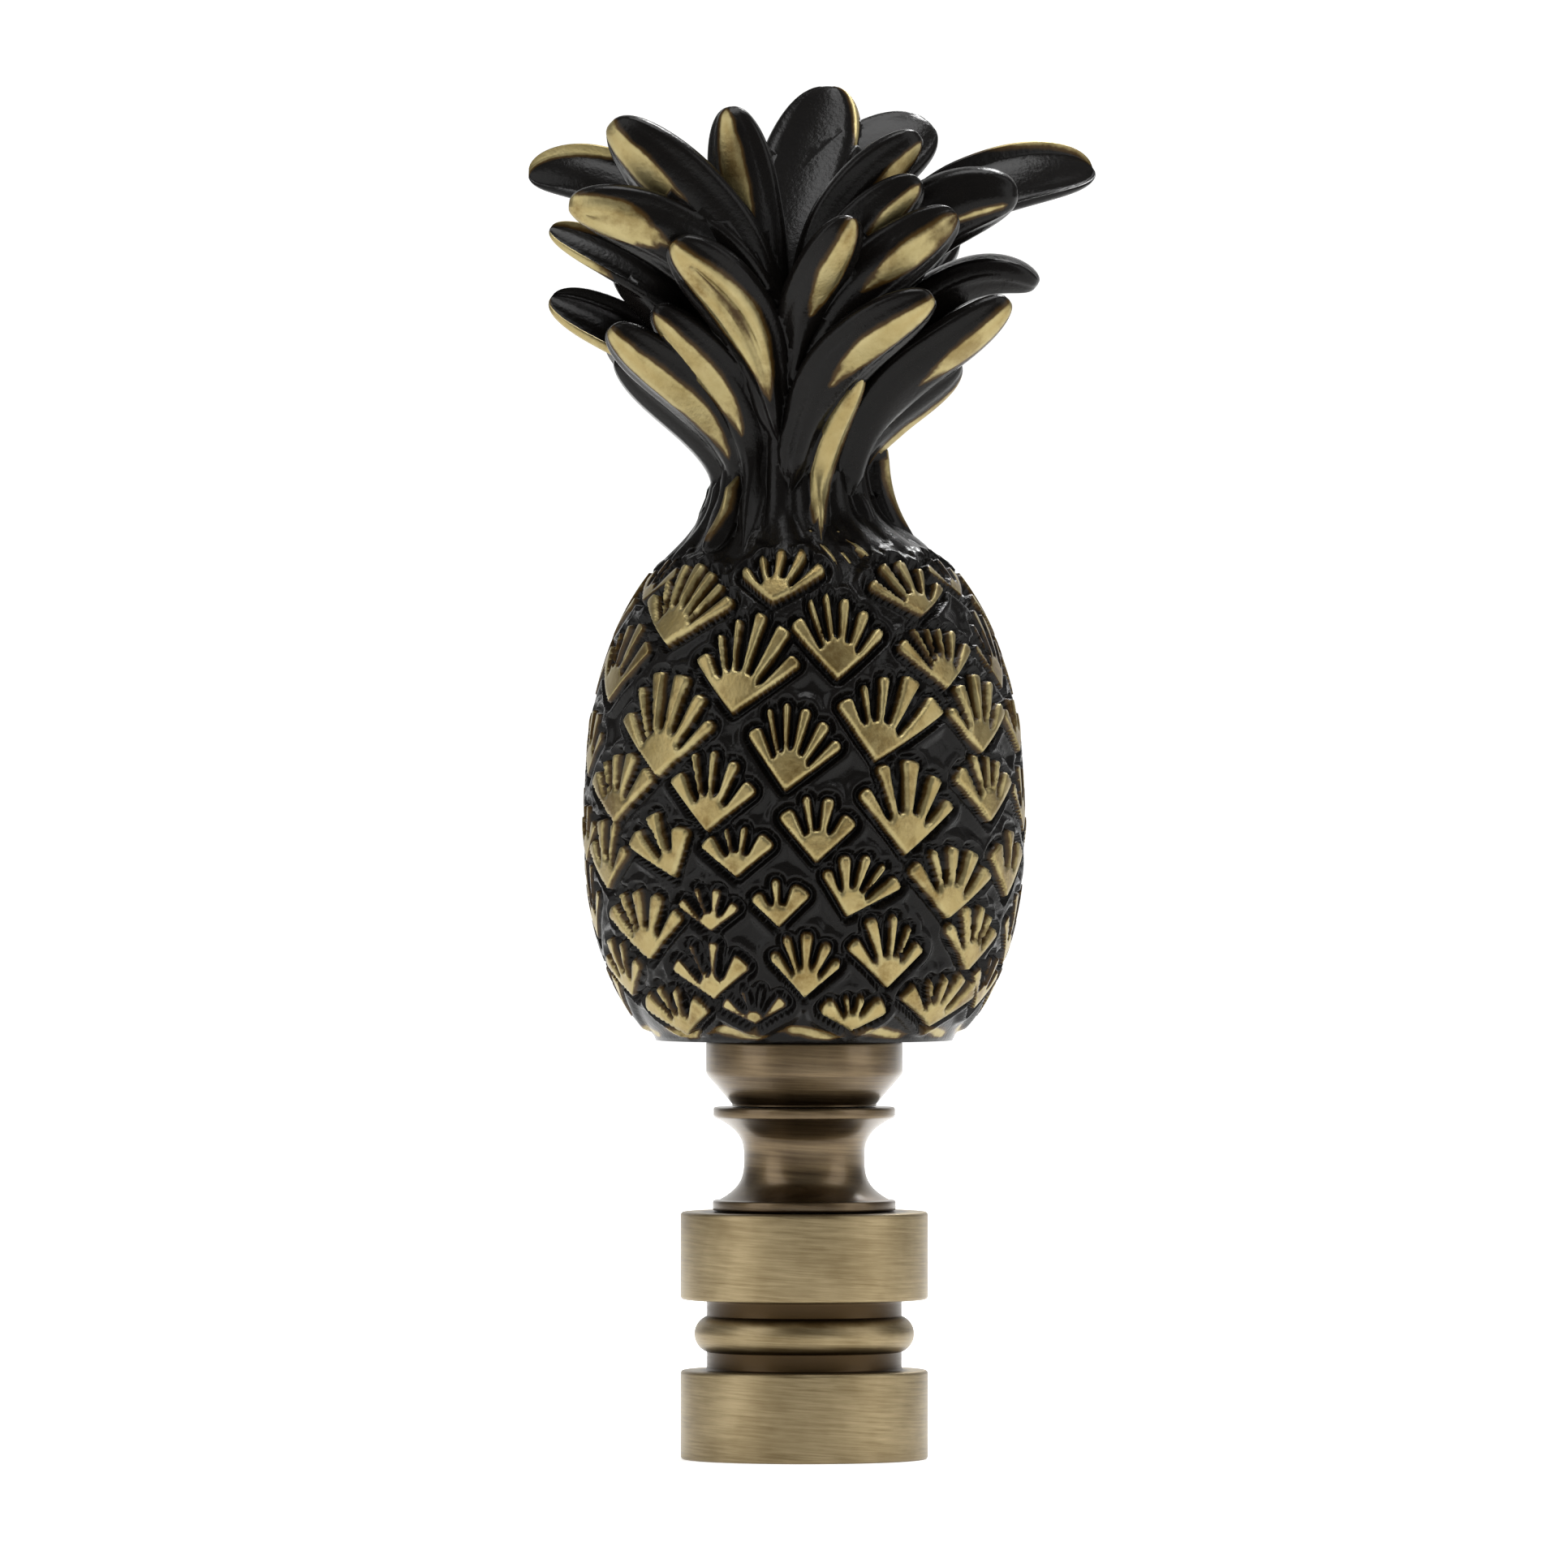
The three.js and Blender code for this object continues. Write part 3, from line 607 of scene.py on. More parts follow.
# %% [markdown]
# ## Crown
#
# Each leaf is a tongue that starts upright in the stem and bends out to its tip. Its spine is a
# Bezier curve seen from the side, turned about the crown's axis. Around the spine goes a section
# with a rounded outer face that carries a keel, and an inner face that is more or less hollow. The
# rubbing wheel touched only keels and rims, so a leaf also says where on it the brass shows. Sixty
# leaves could be sculpted one by one, but as rows of numbers they can be moved by a degree or a
# tenth of a millimetre until they match. The front's leaves follow the photograph one by one, and
# the back's stand in three plain tiers.

# %% Leaves
CROWN_FOOT = FRUIT_FOOT + FRUIT_HEIGHT
CROWN_OFFSET = -0.8
FINE, MIDDLING, COARSE = (42, 28), (28, 18), (24, 14)


@dataclass
class Leaf:
    """One leaf. Root and tip give turn, reach from the crown's axis and rise above its foot, and
    the tip also its slope. Keel gives where the rub starts and ends along the leaf and its half
    width. Rim gives the rubbed edge, -1 or 1, or 0 for both, its start and end, and its half width.
    Crease is a groove along the keel: start, end and depth. Flare is how far the foot spreads
    outwards. Detail is its number of rings and sides."""
    root: tuple
    tip: tuple
    width: float
    thickness: float
    roll: float = 0.0
    hollow: float = 0.2
    keel: tuple = None
    rim: tuple = None
    crease: tuple = None
    blunt_from: float = 0.7
    flare: float = 0.0
    detail: tuple = FINE


LEAVES = [
    Leaf((-80, 2.5, 8), (-98, 13.5, 18.8, -12), 3.4, 1.8, -60, 1, rim=(-1, 0.6, 1.02, 0.8)),
    Leaf((-8, 3.4, 5.5), (-62, 10.3, 21.2, 50), 4.4, 2.3, 28, 0.3, keel=(0.64, 1.02, 0.7)),
    Leaf((-14, 3.4, 6), (-45, 4.3, 22.1, 84), 3.6, 2.2, 20, 0.2, keel=(0.45, 0.99, 0.62)),
    Leaf((160, -3, 7.5), (160, 5.9, 23.4, 62), 5.2, 2.0, 0, 0.5, rim=(-1, 0.7, 1.0, 0.5)),
    Leaf((122, -1, 8), (122, 8.6, 21.4, 25), 4.8, 2.0, 45, 0.3),
    Leaf((10, 3, 9), (62, 7.6, 20.6, 45), 3.4, 1.8, -20, 0.2, keel=(0.7, 0.98, 0.45)),
    Leaf((75, 2.5, 8), (106, 16.3, 19.2, 0), 3.9, 1.8, 55, 1.0, rim=(1, 0.62, 1.03, 0.45)),
    Leaf((60, 3, 7), (78, 12, 17.6, 0), 4.0, 2.8, -55, 0.2, keel=(0.72, 0.95, 0.1)),
    Leaf((8, 3.5, 6), (52, 10.8, 16.6, 48), 3.4, 2.0, -40, keel=(0.6, 0.99, 0.65),
         crease=(0.76, 1.0, 0.15)),
    Leaf((0, 3.5, 6.5), (20, 9.4, 16.3, 60), 3.0, 1.8, keel=(0.5, 1.0, 0.6)),
    Leaf((8, 3.2, 8), (48, 9, 18.3, 50), 3.2, 1.8, -30, keel=(0.7, 0.98, 0.4)),
    Leaf((-14, 3.4, 6), (-62, 12.7, 17, 8), 3.7, 2.2, 45, 0.2, keel=(0.68, 1.03, 1.1),
         crease=(0.8, 0.95, 0.2)),
    Leaf((-60, 3, 5), (-80, 12.4, 15.9, 25), 2.8, 1.8, -50, 1.0, rim=(0, 0.75, 1.0, 0.45)),
    Leaf((-6, 3.7, 4.5), (-38, 9.6, 15.1, 42), 3.5, 2.2, 25, keel=(0.2, 1.0, 1.0),
         crease=(0.3, 0.9, 0.35), detail=(48, 44)),
    Leaf((-22, 6.2, -1), (-52, 8.7, 11.8, 50), 2.9, 1.8, 25, keel=(0.45, 0.98, 0.6), flare=6.5),
    Leaf((-46, 5.5, -1.2), (-60, 10.5, 10.8, 45), 3.2, 1.9, 35, keel=(0.4, 1.0, 0.66), flare=7),
    Leaf((-80, 5.6, -1.2), (-82, 8.8, 9.4, 60), 3.0, 1.8, 0, 0.5, flare=7),
    Leaf((-76, 3, 2.5), (-90, 12.2, 12.4, 25), 3.4, 1.9, -50, 1.0, rim=(1, 0.62, 1.02, 0.6)),
    Leaf((0, 3.8, 2), (42, 11, 12.3, 35), 3.3, 1.9, -25, keel=(0.5, 1.0, 0.65)),
    Leaf((45, 3.4, 1), (66, 12.3, 12.2, 45), 3.3, 1.9, -25, keel=(0.6, 1.0, 0.6)),
    Leaf((80, 3, 4), (85, 12.8, 13, -35), 3.4, 2.4),
    Leaf((52, 6.2, -1), (72, 9.2, 9.2, 30), 3.7, 2.0, -50, rim=(1, 0.1, 0.98, 0.8), flare=7.2),
    Leaf((15, 6.4, -1), (33, 6.9, 8.4, 60), 2.2, 1.9, -20, keel=(0.03, 1.0, 0.7),
         blunt_from=0.05, flare=5.2),
]

FILLERS = [
    Leaf((-30, 2.2, 5), (-48, 7.4, 16.5, 55), 6.0, 1.6, detail=COARSE),
    Leaf((35, 2.2, 5), (55, 8.6, 15.6, 50), 6.0, 1.6, detail=COARSE),
    Leaf((-75, 2.2, 3), (-80, 9.0, 13.6, 45), 4.5, 1.6, detail=COARSE),
    Leaf((75, 2.2, 3), (80, 9.6, 11.5, 40), 4.5, 1.6, detail=COARSE),
]
print(len(LEAVES), "leaves seen in front, and", len(FILLERS), "between them and the stem")

# %% [markdown]
# In each tier of the back every other leaf is a little shorter, and four small ones close the top
# of the crown. Where the casting's leaves run down on to the fruit's shoulders they end in strands,
# and those are leaves too, only short and turned down. A few of them were caught by the wheel.

# %% Back leaves and strands
BACK_TIERS = [
    ((112, 140, 168, 196, 224, 250), (5.6, -1.2), (10.8, 11.4, 48), 3.4, 7),
    ((126, 154, 182, 210, 236), (3.0, 2.0), (10.6, 15.6, 40), 3.6, 0),
    ((200, 228), (1.8, 4.8), (8.2, 19.8, 55), 4.6, 0),
]
for turns, root, (reach, rise, tip_slope), width, flare in BACK_TIERS:
    for i, turn in enumerate(turns):
        shorter = i % 2
        tip = (turn, reach - shorter, rise - shorter, tip_slope)
        LEAVES.append(Leaf((turn, *root), tip, width, 2.0, hollow=0.6, keel=(0.62, 1.0, 0.65),
                           flare=flare, detail=MIDDLING))

for turn in (80, 150, 205, 260):
    LEAVES.append(Leaf((turn, 1.2, 8), (turn, 3.6, 20.2, 70), 3.0, 1.6, hollow=0.5, detail=COARSE))

FRONT_STRANDS = ((-64, 1.4), (-34, 1.2), (-4, 1.1), (42, 1.2), (68, 1.4))
BACK_STRANDS = tuple((turn, 1.5) for turn in range(98, 290, 28))
for i, (turn, width) in enumerate(FRONT_STRANDS + BACK_STRANDS):
    LEAVES.append(Leaf((turn - 3, 3.6, 3.4), (turn, 6.6, -1.2 - 0.3 * (i % 2), -35), width, 0.8,
                       blunt_from=0.5, detail=COARSE))

RUBBED_WISPS = [((10, 5.0, 0.7), (19, 7.4, -1.6, -60)), ((17, 5.0, 0.6), (26, 7.4, -1.8, -60)),
                ((25, 5.0, 0.6), (34, 7.4, -1.4, -60))]
LEAVES += [
    Leaf((-38, 4.2, 3.2), (-42, 6.3, -0.8, -50), 1.5, 1.2, keel=(-0.1, 0.9, 0.2), detail=COARSE),
    *(Leaf(root, tip, 0.8, 0.9, keel=(0.0, 1.1, 0.18), blunt_from=0.5, detail=COARSE)
      for root, tip in RUBBED_WISPS),
    Leaf((76, 4.5, 5.6), (84, 6.7, -0.9, -50), 1.4, 1.0, keel=(-0.1, 0.8, 0.25), detail=COARSE),
]
LEAVES += FILLERS
print(len(LEAVES), "leaves and strands")

# %% [markdown]
# The surface of a leaf follows from its row: first the spine, then the section around it, then the
# crease and the rub. A curve object with a bevel could carry a section too, but not one that has a
# keel, a hollow and a blunt tip. All rings of a leaf are worked out at once.

# %% Leaf surfaces
RING_CROWDING = 1.6
RISE_HOLD, TIP_HOLD = 0.45, 0.35
ROLL_PACE = 1.6
BLUNTNESS, TIP_THINNING = 2.3, 0.8
ROOT_WIDTH, ROOT_THICKENING, GROWN_AT = 0.55, 0.6, 0.6
ROOT_POINT, ROOT_OPENING = 0.02, 0.16
STRIP_WIDTH, STRIP_HEIGHT, STRIP_EDGE = 0.45, 0.44, (0.72, 0.4)
OUTER_POWER, INNER_POWER = 0.8, 0.7
HOLLOW_DEPTH, HOLLOW_EDGE = 0.95, (0.3, 0.75)
CREASE_WIDTH, CREASE_EDGE, CREASE_RUB = 0.42, (-0.15, 0.25), -0.05
RUB_FADE, RUB_ROUND = 0.07, -0.2
ARC_PER_CHORD = np.hypot(1, 0.3)


def bezier(points, share):
    """Cubic Bezier from its first to its last point, drawn towards the two between, and its
    derivative: with r = 1 - s it is r^3 a + 3 r^2 s b + 3 r s^2 c + s^3 d."""
    a, b, c, d = np.array(points, float)
    s = share[:, None]
    place = (1 - s) ** 3 * a + 3 * (1 - s) ** 2 * s * b + 3 * (1 - s) * s ** 2 * c + s ** 3 * d
    speed = 3 * (1 - s) ** 2 * (b - a) + 6 * (1 - s) * s * (c - b) + 3 * s ** 2 * (d - c)
    return place, speed


def unit(vectors):
    """Vectors of length one."""
    return vectors / np.linalg.norm(vectors, axis=-1, keepdims=True)


def patch(along_leaf, off_line, start, end, half_width, length):
    """How far inside a patch a point lies, in millimetres. The patch lies between start and end of
    the leaf, centred on a line along it, round towards the tip, and pointed and fading towards the
    root, where the wheel only brushed it."""
    middle, half = (start + end) / 2, (end - start) / 2
    part = (along_leaf - middle) / half
    round_end = np.sqrt(np.maximum(1 - part ** 2, 0))
    pointed_end = np.maximum(1 - np.abs(part) ** 1.5, 0)
    past_end = np.maximum(np.abs(part) - 1, 0) * half * length
    depth = half_width * np.where(part > 0, round_end, pointed_end) - off_line - past_end
    return np.minimum(depth, RUB_FADE * (along_leaf - start) * length)


def leaf_spine(leaf, along_leaf):
    """The leaf's middle line and, at each of its points, the directions across and outward. The
    line leaves its root upright, or straight down if the tip is lower, leaning inwards by the
    flare, and arrives with the tip's slope. Across lies the horizontal, square to the turn, and
    outward is square to both. Then the roll turns the two about the line."""
    (root_turn, root_reach, root_rise), (tip_turn, reach, rise, tip_slope) = leaf.root, leaf.tip
    heading = 1 if rise > root_rise else -1
    chord = np.hypot(reach - root_reach, rise - root_rise)
    tip_slope, hold = np.radians(tip_slope), TIP_HOLD * chord
    side_view, speed = bezier([
        (root_reach, root_rise),
        (root_reach - leaf.flare, root_rise + RISE_HOLD * chord * heading),
        (reach - hold * np.cos(tip_slope), rise - hold * np.sin(tip_slope)), (reach, rise),
    ], along_leaf)
    turn = np.radians(root_turn + (tip_turn - root_turn) * along_leaf)
    (out, up), (out_speed, up_speed) = side_view.T, speed.T
    turn_speed = out * np.radians(tip_turn - root_turn)
    sine, cosine = np.sin(turn), np.cos(turn)
    spine = np.stack([out * sine, -out * cosine, up], -1)
    tangent = unit(np.stack([out_speed * sine + turn_speed * cosine,
                             -out_speed * cosine + turn_speed * sine, up_speed], -1))
    outward = unit(np.cross(np.stack([cosine, sine, 0 * sine], -1) * heading, tangent))
    across = np.cross(tangent, outward)
    roll = np.radians(leaf.roll) * np.minimum(ROLL_PACE * along_leaf, 1)[:, None]
    return (spine, across * np.cos(roll) - outward * np.sin(roll),
            outward * np.cos(roll) + across * np.sin(roll), chord * ARC_PER_CHORD)


def leaf_grid(leaf):
    """The leaf's rings of points and their rub. The half width grows from a point to the middle and
    rounds off bluntly, as a superellipse, at the tip. The outer face is a half ellipse that carries
    a flat strip, the rims are round, and the hollow pushes the middle of the inner face in."""
    rings, sides = leaf.detail
    along = 1 - (1 - np.linspace(0, 1, rings + 1)[:-1]) ** RING_CROWDING
    spine, across, outward, length = leaf_spine(leaf, along)
    past = np.maximum((along - leaf.blunt_from) / (1 - leaf.blunt_from), 0)
    rounding = (1 - past ** BLUNTNESS) ** (1 / BLUNTNESS)
    opening = np.sqrt(ROOT_POINT + smoothstep(0, ROOT_OPENING, along))
    grown = smoothstep(0, GROWN_AT, along)
    half_width = leaf.width / 2 * (ROOT_WIDTH + (1 - ROOT_WIDTH) * grown) * rounding * opening
    thickening = 1 + ROOT_THICKENING * (1 - along) ** 2
    half_thickness = leaf.thickness / 2 * thickening * rounding ** TIP_THINNING * opening
    along, half_width, half_thickness = np.array([along, half_width, half_thickness])[:, :, None]

    angle = np.linspace(0, 2 * np.pi, sides, endpoint=False)
    x, y = np.cos(angle), np.sin(angle)
    strip = (STRIP_WIDTH + (1 - STRIP_WIDTH) * grown)[:, None]
    outer = np.abs(y) ** OUTER_POWER * (1 - STRIP_HEIGHT)
    outer = outer + STRIP_HEIGHT * smoothstep(*STRIP_EDGE, np.abs(x) / strip)
    inner = leaf.hollow * HOLLOW_DEPTH * smoothstep(*HOLLOW_EDGE, np.abs(y))
    face = np.where(y > 0, outer, inner - np.abs(y) ** INNER_POWER)
    off_keel = np.abs(x) * half_width
    if leaf.crease:
        start, end, depth = leaf.crease
        groove = patch(along, off_keel, start, end, CREASE_WIDTH, length)
        crease = smoothstep(*CREASE_EDGE, groove)
        face = face - depth * crease * (y > 0)
    grid = (spine[:, None] + across[:, None] * (half_width * x)[..., None]
            + outward[:, None] * (half_thickness * face)[..., None])

    rub = np.full(grid.shape[:2], -RUB_REACH)
    if leaf.keel:
        start, end, width = leaf.keel
        inside = patch(along, off_keel, start, end, width, length)
        rub = np.where(y > RUB_ROUND, np.maximum(rub, inside), rub)
    if leaf.rim:
        edge, start, end, width = leaf.rim
        gap = x - edge if edge else 1 - np.abs(x)
        off_edge = np.hypot(gap * half_width, y * half_thickness)
        rub = np.maximum(rub, patch(along, off_edge, start, end, width, length))
    if leaf.crease:
        rub = rub + (CREASE_RUB - rub) * crease * (rub > CREASE_RUB)
    rub = np.clip(rub, -RUB_REACH, RUB_REACH) + RUB_REACH

    crown = np.array([CROWN_OFFSET, 0, CROWN_FOOT])
    tip_turn, reach, rise, _ = leaf.tip
    tip_turn = np.radians(tip_turn)
    tip = np.array([reach * np.sin(tip_turn), -reach * np.cos(tip_turn), rise])
    return grid[:, ::-1] + crown, spine[0] + crown, tip + crown, rub[:, ::-1]


leaf_pieces = []
for i, leaf in enumerate(LEAVES):
    grid, root_point, tip_point, rub = leaf_grid(leaf)
    leaf_pieces.append(closed_surface(f"leaf_{i}", grid, root_point, tip_point, rub))
print(sum(len(piece.data.polygons) for piece in leaf_pieces), "faces in the leaves")

# %% [markdown]
# The leaves grow from a stem that flares into the fruit below and ends between the inner leaves, so
# that dark metal fills the gaps. A cylinder would do behind the leaves, but its foot shows between
# the strands, so it is a lathe form with creases down its skin and a shallow bowl on top.

# %% Stem
STEM_OFFSET = -0.5
STEM_SIDES, STEM_RINGS, BOWL_RINGS = 132, 44, 4
STEM_RIDGES, STEM_CREASE = 8, 0.4
BOWL_DEPTH = 0.5
STEM_SMOOTHING = 3
SWAY, TWIST = 0.3, 0.05
THICK_STEM = 4.0

stem_knots = np.array([(7.2, -1.2), (6.35, -0.3), (5.4, 0.5), (4.8, 1.3), (4.3, 2.8), (4.1, 5.5),
                       (4.1, 8), (3.4, 10.5), (2.0, 12)])
knot_radius, knot_height = stem_knots.T
stem_height = np.linspace(knot_height[0], knot_height[-1], STEM_RINGS)
stem_radius = np.interp(stem_height, knot_height, knot_radius)
window = np.ones(2 * STEM_SMOOTHING + 1) / (2 * STEM_SMOOTHING + 1)
stem_radius = np.convolve(np.pad(stem_radius, STEM_SMOOTHING, mode="edge"), window, "valid")
inward = np.linspace(0.9, 0.1, BOWL_RINGS)
stem_height = np.append(stem_height, knot_height[-1] - BOWL_DEPTH * (1 - inward ** 2))
stem_radius = np.append(stem_radius, stem_radius[-1] * inward)
stem_turn = np.linspace(0, 2 * np.pi, STEM_SIDES, endpoint=False)
wander = SWAY * np.sin(3 * stem_turn) + TWIST * stem_height[:, None]
ridge_wave = np.abs(np.sin(STEM_RIDGES * stem_turn + wander))
crease_depth = STEM_CREASE * np.minimum(stem_radius / THICK_STEM, 1)[:, None]
stem_skin = stem_radius[:, None] - crease_depth * (1 - ridge_wave ** 0.7)
stem_middle = STEM_OFFSET * smoothstep(-0.5, 1.5, stem_height)[:, None]
stem_grid = np.stack([stem_skin * np.sin(stem_turn) + stem_middle, -stem_skin * np.cos(stem_turn),
                      stem_height[:, None] + CROWN_FOOT + 0 * stem_turn], -1)
stem = closed_surface("stem", stem_grid, (0, 0, CROWN_FOOT + knot_height[0]),
                      (STEM_OFFSET, 0, CROWN_FOOT + stem_height[-1]), np.zeros(stem_grid.shape[:2]))
print("stem", len(stem.data.polygons), "faces")

# %% [markdown]
# Now the casting becomes one skin, as the real one is. The pieces could just stand in one another,
# but then surfaces would run on inside the metal, so Blender's Boolean modifier joins fruit, stem
# and leaves. It carries the rub value over, and new points on the joints get 0, which is why 0 has
# to mean unrubbed. Its manifold solver is quick and needs closed pieces, which these are.

# %% One skin
def join(target, others):
    """Unites closed pieces with the target and deletes them."""
    tools = bpy.data.collections.new("tools")
    bpy.context.scene.collection.children.link(tools)
    for other in others:
        tools.objects.link(other)
    union = target.modifiers.new("union", "BOOLEAN")
    union.operation = "UNION"
    union.solver = "MANIFOLD"
    union.operand_type = "COLLECTION"
    union.collection = tools
    evaluated = target.evaluated_get(bpy.context.evaluated_depsgraph_get())
    joined = bpy.data.meshes.new_from_object(evaluated)
    target.modifiers.clear()
    target.data = joined
    for other in others:
        bpy.data.objects.remove(other)
    bpy.data.collections.remove(tools)


join(fruit, [stem, *leaf_pieces])
pineapple = fruit
pineapple.data.calc_loop_triangles()
print("casting", len(pineapple.data.loop_triangles), "triangles")

# %% [markdown]
# ## Finishes
#
# Cast brass, blackened and rubbed, is two surfaces in one: bare yellow metal where the wheel ran
# over it, and a glossy black skin everywhere else. It could be painted on by hand, but the border
# has to follow the carving, so the rub value of each point gives it. A little noise makes it
# ragged, and a brown band runs along it where the black was only thinned. The bare brass is stained
# brown in clouds, where the wheel left a film of the black. The middle of a wide patch is more
# ochre and more stained than its edges: the ochre and the stains are the metal's own, and the
# lighter, yellower edges of each patch and finger are a painted highlight. To the eye, the gloss of
# the black gives sharp glints, and the rubbed brass a soft satin shine. Each pattern has its real
# size in millimetres. Only the grain of the cast skin is too fine to show, a twentieth of a
# millimetre, and is drawn about four times as coarse.

# %% Rubbed casting
COLOURS, EASED = {"data_type": "RGBA"}, {"interpolation_type": "SMOOTHSTEP"}
MULTIPLY, MULTIPLY_ADD = {"operation": "MULTIPLY"}, {"operation": "MULTIPLY_ADD"}
BLOTCH_SIZE, CLOUD_SIZE, LUMP_SIZE, GRAIN_SIZE = 1.1111, 3.0303, 0.76923, 0.19231
LUMP_HEIGHT, GRAIN_HEIGHT = 0.07, 0.03
RAGGEDNESS = 0.24
BROWN_FROM, BROWN_TO = RUB_REACH - 0.12, RUB_REACH + 0.08
BRASS_FROM, BRASS_TO = RUB_REACH + 0.05, RUB_REACH + 0.2
MIDDLE_FROM, MIDDLE_TO = RUB_REACH + 0.15, 2 * RUB_REACH - 0.05
STAIN_FROM, STAIN_TO, STAIN_MOST, STAIN_AT_EDGE = 0.46, 0.68, 0.78, 0.7
OCHRE_MOST = 0.22
BLACK_ROUGHNESS, BRASS_ROUGHNESS = 0.25, 0.42

cast_brass, tree, shader = new_material("cast brass, blackened and rubbed")
place = add(tree, "TexCoord").outputs["Object"]
rub_value = add(tree, "Attribute", {"attribute_name": "rubbed"}).outputs["Fac"]
blotches = add(tree, "TexNoise", Vector=place, Scale=1 / (BLOTCH_SIZE * MM), Detail=5,
               Roughness=0.6).outputs["Fac"]
ragged = add(tree, "Math", MULTIPLY_ADD, _0=blotches, _1=RAGGEDNESS, _2=rub_value).outputs[0]
black = add(tree, "Mix", COLOURS, _0=blotches, _6=linear("#070606"), _7=linear("#100e0c"))
brown_share = add(tree, "MapRange", EASED, Value=ragged, From_Min=BROWN_FROM, From_Max=BROWN_TO)
brown = add(tree, "Mix", COLOURS, _0=brown_share.outputs[0], _6=black.outputs[2],
            _7=linear("#3d2c12"))

yellow = add(tree, "Mix", COLOURS, _0=blotches, _6=linear("#7c6d42"), _7=linear("#a89d75"))
# Painted highlight: a patch's edge is yellower and less stained than its middle, standing in for
# the bright edges of the brass. The ochre and stains themselves are the metal's own.
middle = add(tree, "MapRange", EASED, Value=rub_value, From_Min=MIDDLE_FROM,
             From_Max=MIDDLE_TO).outputs[0]
ochre_and_edge_highlight = add(tree, "Math", MULTIPLY, _0=middle, _1=OCHRE_MOST)
ochre = add(tree, "Mix", COLOURS, _0=ochre_and_edge_highlight.outputs[0], _6=yellow.outputs[2],
            _7=linear("#80642f"))
clouds = add(tree, "TexNoise", Vector=place, Scale=1 / (CLOUD_SIZE * MM), Detail=6,
             Roughness=0.7).outputs["Fac"]
stain = add(tree, "MapRange", EASED, Value=clouds, From_Min=STAIN_FROM, From_Max=STAIN_TO,
            To_Max=STAIN_MOST)
stain_and_edge_highlight = add(tree, "MapRange", Value=middle, To_Min=STAIN_AT_EDGE)
stain_share = add(tree, "Math", MULTIPLY, _0=stain.outputs[0], _1=stain_and_edge_highlight.outputs[0])
toned = add(tree, "Mix", COLOURS, _0=stain_share.outputs[0], _6=ochre.outputs[2],
            _7=linear("#5a4522"))
brass_share = add(tree, "MapRange", EASED, Value=ragged, From_Min=BRASS_FROM,
                  From_Max=BRASS_TO).outputs[0]
colour = add(tree, "Mix", COLOURS, _0=brass_share, _6=brown.outputs[2], _7=toned.outputs[2])

roughness = add(tree, "MapRange", Value=brass_share, To_Min=BLACK_ROUGHNESS,
                To_Max=BRASS_ROUGHNESS)
lumps = add(tree, "TexNoise", Vector=place, Scale=1 / (LUMP_SIZE * MM), Detail=4, Roughness=0.6)
grain = add(tree, "TexNoise", Vector=place, Scale=1 / (GRAIN_SIZE * MM), Detail=3)
waves = add(tree, "Bump", Strength=0.4, Distance=LUMP_HEIGHT * MM, Height=lumps.outputs["Fac"])
bumps = add(tree, "Bump", Strength=0.3, Distance=GRAIN_HEIGHT * MM, Height=grain.outputs["Fac"],
            Normal=waves.outputs[0])
tree.links.new(colour.outputs[2], shader.inputs["Base Color"])
tree.links.new(brass_share, shader.inputs["Metallic"])
tree.links.new(roughness.outputs[0], shader.inputs["Roughness"])
tree.links.new(bumps.outputs[0], shader.inputs["Normal"])
shader.inputs["Specular IOR Level"].default_value = 0.12
print(len(tree.nodes), "nodes in", cast_brass.name)

# %% [markdown]
# The turned pieces are brushed in the lathe, so their scratches run around the axis. Around a disc
# neither the height nor the radius changes much, so noise that is read from their sum, and only
# slowly from x and y, draws long streaks that follow the turning on walls and on faces alike. An
# anisotropic shader would stretch the glints, but it draws no streaks. Real brushing is some 0.03
# mm wide, too fine to show, and is drawn four to seven times as wide. The cup and the spool share a
# darker colour and lie under a thin coat of lacquer, which adds a second, sharper shine to the
# satin one. On the cup the darker colour is a browner, less brushed tone. On the spool, whose waist
# sits back between its lip and flange, it is painted shade. The foot has painted shade in its
# groove.

# %% Turned finishes
STREAK_SQUEEZE, STREAK_SLANT, STREAK_HEIGHT = 25.0, 0.06, 0.02
TONE_SIZE, TONE_WEIGHT = 2.85714, 0.6
TONE_FROM, TONE_TO = 0.6, 1.0
SHADE_FADE = 0.5
GLOSS_LESS, GLOSS_MORE = 0.06, 0.1


